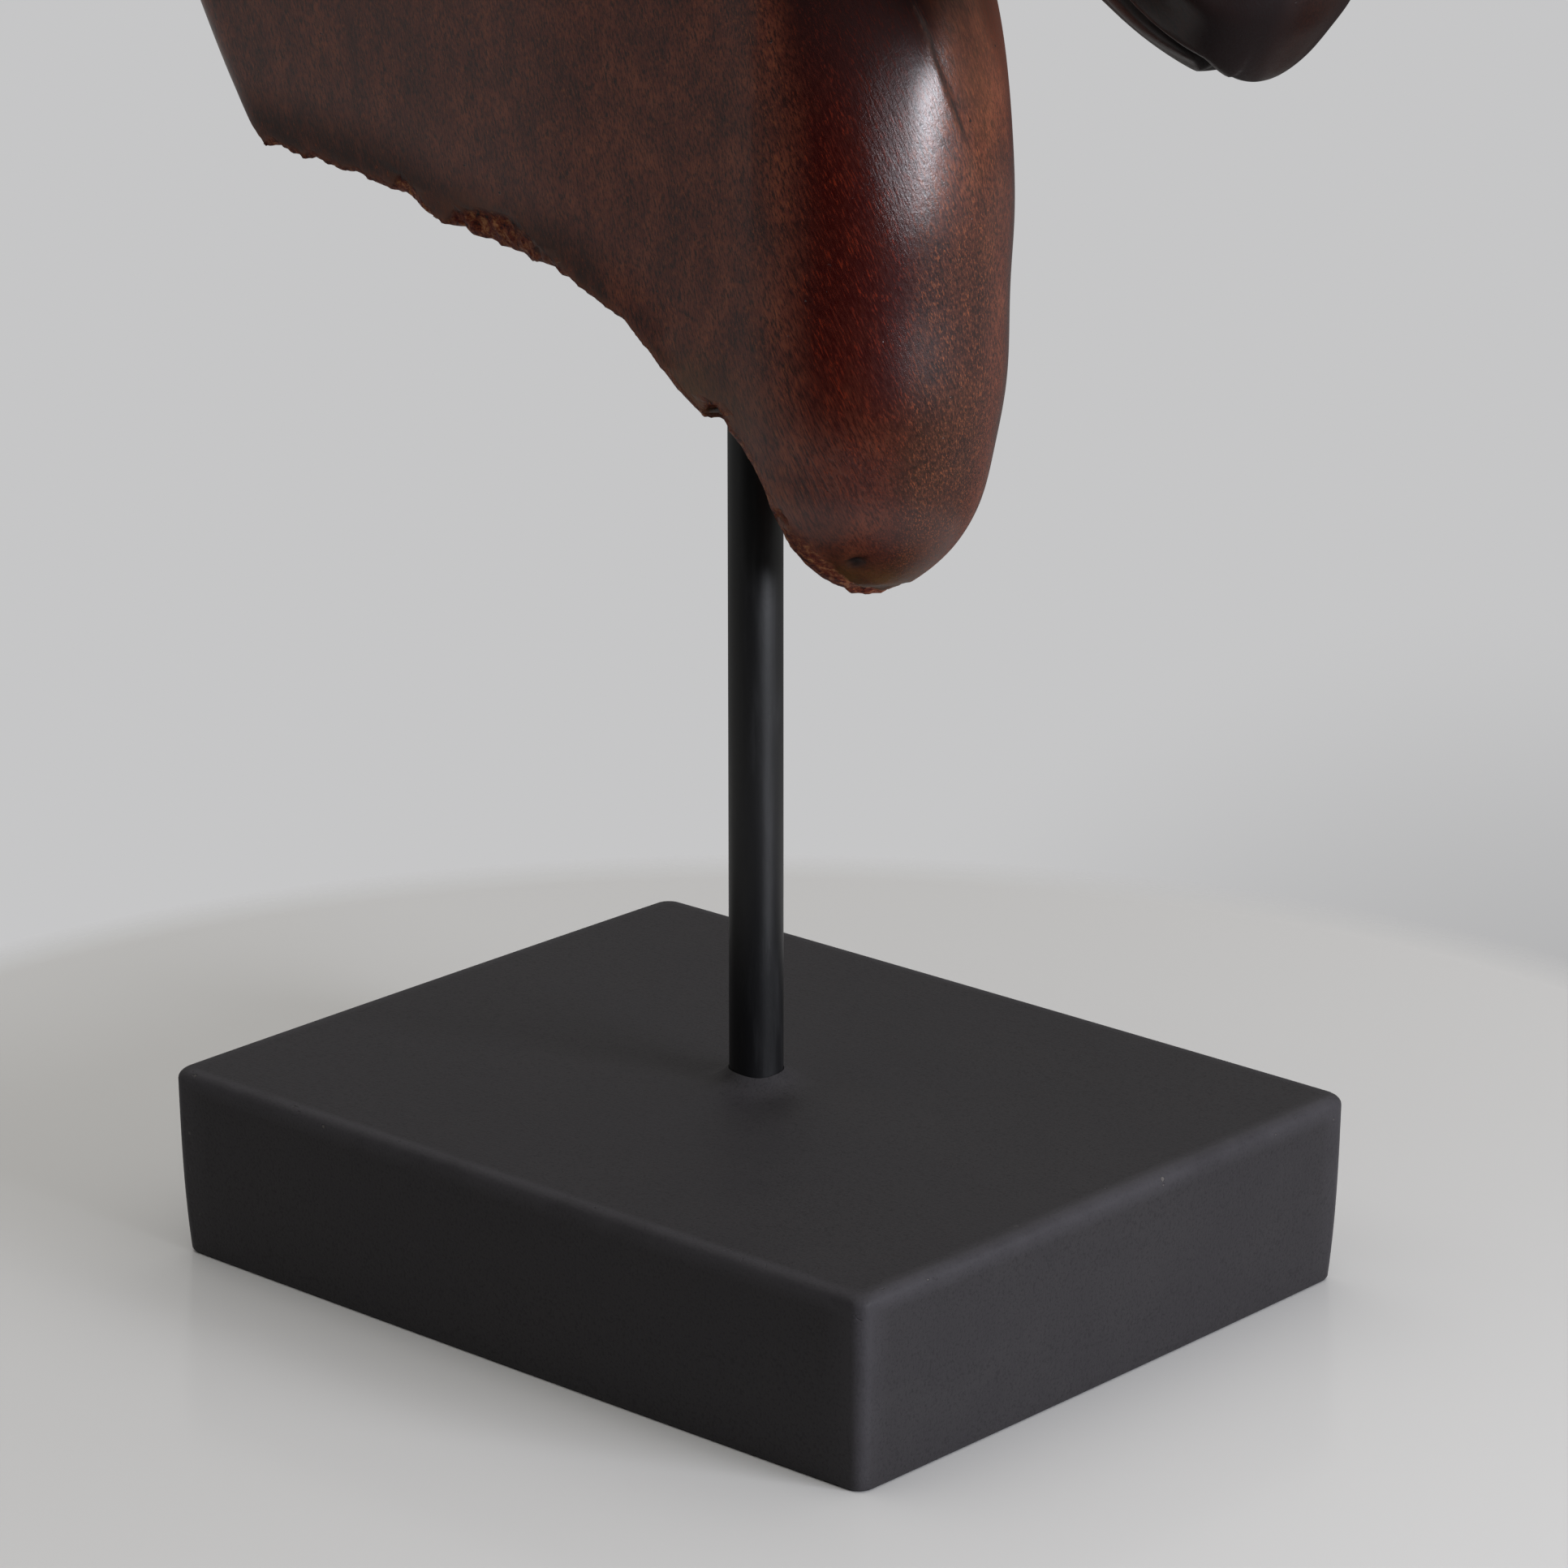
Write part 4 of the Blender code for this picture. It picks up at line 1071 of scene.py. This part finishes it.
def block_material():
    """Fibreboard rolled matt black: a dry, faintly grained skin, with a painted sheen and a few rubbed nicks
    on its edges.
    """
    made, tree = new_material("matt_black_painted_fibreboard")
    grain = pattern(tree, (0.7, 0.7, 0.7), 3, 0.6)
    cloudy = pattern(tree, (24, 24, 18), 4, 0.6)
    rolled = pattern(tree, (5, 1.6, 4), 2)
    dust = pattern(tree, (0.6, 0.6, 0.6), 1)
    nicks = pattern(tree, (2.6, 2.6, 1.8), 1)
    edge = add(tree, "Attribute", attribute_name="edge").outputs["Fac"]
    washes = [
        ("#333132", 0.5, (cloudy, 0.35, 0.7)),
        ("#353232", 0.45, (grain, 0.55, 0.8)),
        ("#1E1C1E", 0.5, (grain, 0.48, 0.36)),
        # A painted sheen along the rims and upright corners.
        ("#48464A", 0.4, edge, (cloudy, 0.3, 0.6, 0.5)),
        ("#4C4A48", 0.4, (dust, 0.80, 0.84)),
        ("#565250", 0.9, edge, (nicks, 0.76, 0.80)),
    ]
    heights = [(0.09, grain), (0.08, rolled), (share_of(tree, -0.2, edge, (nicks, 0.72, 0.78)), 1.0)]
    shader = {
        "Base Color": painted(tree, srgb("#2D2B2D"), washes),
        "Roughness": add(tree, "MapRange", {0: cloudy, 1: 0.3, 2: 0.7, 3: 0.5, 4: 0.6}),
        "Specular IOR Level": 0.13,
        "Normal": relief_of(tree, heights),
    }
    add(tree, "OutputMaterial", {0: add(tree, "BsdfPrincipled", shader)})
    return made


# The table top's radius, and the share of it from where its edge fades.
FLOOR_RADIUS, FLOOR_FADE = 0.31, 0.93

# The window: degrees round and up, distance, roll, size, watts, and the height on the object that it faces.
WINDOW_ROUND, WINDOW_UP, WINDOW_AWAY, WINDOW_ROLL = 95, 7, 1.5, math.radians(24)
WINDOW_WIDE, WINDOW_HIGH, WINDOW_POWER = 0.8, 0.38, 25
WINDOW_AIM = 0.25

# The wall's dimmer patch: the way to it, the cosines at its rim and in its middle, then both strengths.
WALL_PATCH, WALL_RIM, WALL_MIDDLE = (-0.510, 0.754, -0.414), 0.9877, 0.9997
WALL_BRIGHT, WALL_DIM = 0.57, 0.42

# The room's light: the way it comes from, where it starts and is full as a cosine, and its strength.
ROOM = [
    ((-0.98, 0.15, 0.0), -0.35, 0.6, 0.24),
    ((0.67, 0.74, 0.05), 0.6, 0.95, 0.28),
    ((0.0, 0.0, 1.0), 0.45, 0.95, 1.22),
]


def direction(round_degrees, up_degrees):
    """Where something stands as seen from the object: 0 is at -Y, 90 at +X."""
    a, e = math.radians(round_degrees), math.radians(up_degrees)
    return Vector((math.sin(a) * math.cos(e), -math.cos(a) * math.cos(e), math.sin(e)))


def toward(tree, way, low, high, dark, light):
    """A brightness that goes from dark to light as the look turns towards a way, between two cosines."""
    look = add(tree, "TexCoord").outputs["Generated"]
    dot = add(tree, "VectorMath", {0: look, 1: way}, operation="DOT_PRODUCT").outputs["Value"]
    sockets = {"Value": dot, "From Min": low, "From Max": high, "To Min": dark, "To Max": light}
    return add(tree, "MapRange", sockets, interpolation_type="SMOOTHSTEP")


def floor():
    """A pale polished table top, round, whose edge melts into the wall behind."""
    bpy.ops.object.select_all(action="DESELECT")
    bpy.ops.mesh.primitive_circle_add(vertices=128, radius=FLOOR_RADIUS * 1.02, fill_type="NGON")
    top = bpy.context.object
    top.name = "floor"
    made, tree = new_material("pale_polished_stone")
    here = add(tree, "TexCoord").outputs["Object"]
    reach = add(tree, "VectorMath", {0: here}, operation="LENGTH").outputs["Value"]
    edge = {"Value": reach, "From Min": FLOOR_RADIUS * FLOOR_FADE, "From Max": FLOOR_RADIUS}
    fade = add(tree, "MapRange", edge)
    polish = {"Base Color": srgb("#D4D3D2"), "Roughness": 0.16, "Specular IOR Level": 0.4}
    stone = add(tree, "BsdfPrincipled", polish)
    both = add(tree, "MixShader", {0: fade, 1: stone, 2: add(tree, "BsdfTransparent")})
    add(tree, "OutputMaterial", {0: both})
    top.data.materials.append(made)


def studio():
    """A pale wall all round for the eye, and for the light a room that is dark on the camera's side."""
    world = bpy.data.worlds.new("studio")
    world.use_nodes = True
    tree = world.node_tree
    tree.nodes.clear()
    wall = toward(tree, Vector(WALL_PATCH), WALL_RIM, WALL_MIDDLE, WALL_BRIGHT, WALL_DIM)
    seen = add(tree, "Background", {"Color": srgb("#FEFEFF"), "Strength": wall})
    room = 0.0
    for way, low, high, strength in ROOM:
        glow = toward(tree, Vector(way).normalized(), low, high, 0, strength)
        room = add(tree, "Math", {0: glow, 1: room}, operation="ADD")
    light = add(tree, "Background", {"Color": srgb("#FDFCF9"), "Strength": room})
    eye = add(tree, "LightPath").outputs["Is Camera Ray"]
    add(tree, "OutputWorld", {0: add(tree, "MixShader", {0: eye, 1: light, 2: seen})})
    bpy.context.scene.world = world

    window = bpy.data.lights.new("window", "AREA")
    window.shape = "RECTANGLE"
    window.size, window.size_y, window.energy = WINDOW_WIDE, WINDOW_HIGH, WINDOW_POWER
    window.color = srgb("#F3F6FF")[:3]
    lamp = bpy.data.objects.new("window", window)
    way = direction(WINDOW_ROUND, WINDOW_UP)
    lamp.location = Vector((0, 0, WINDOW_AIM)) + way * WINDOW_AWAY
    lamp.rotation_euler = (way.to_track_quat("Z", "Y") @ Quaternion((0, 0, 1), WINDOW_ROLL)).to_euler()
    lamp.visible_camera = False
    bpy.context.scene.collection.objects.link(lamp)
    bpy.context.scene.view_settings.view_transform = "Standard"


def camera():
    data = bpy.data.cameras.new("camera")
    data.lens = CAMERA_LENS
    data.sensor_width = 36
    obj = bpy.data.objects.new("camera", data)
    obj.location = CAMERA_PLACE
    obj.rotation_euler = (math.radians(90 - CAMERA_DOWN), 0, math.radians(CAMERA_ROUND))
    bpy.context.scene.collection.objects.link(obj)
    bpy.context.scene.camera = obj


camera()
floor()
studio()
head = sculpture()
head.data.materials.append(resin_material())
head.data.shade_smooth()
bar = rod()
bar.data.materials.append(rod_material())
slab = block()
slab.data.materials.append(block_material())
mark_edges(slab.data)
for piece, node, slot in ((head, "horse_head", "sculpture"), (bar, "rod", "rod"), (slab, "base", "block")):
    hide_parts(node)
    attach(piece, "root")
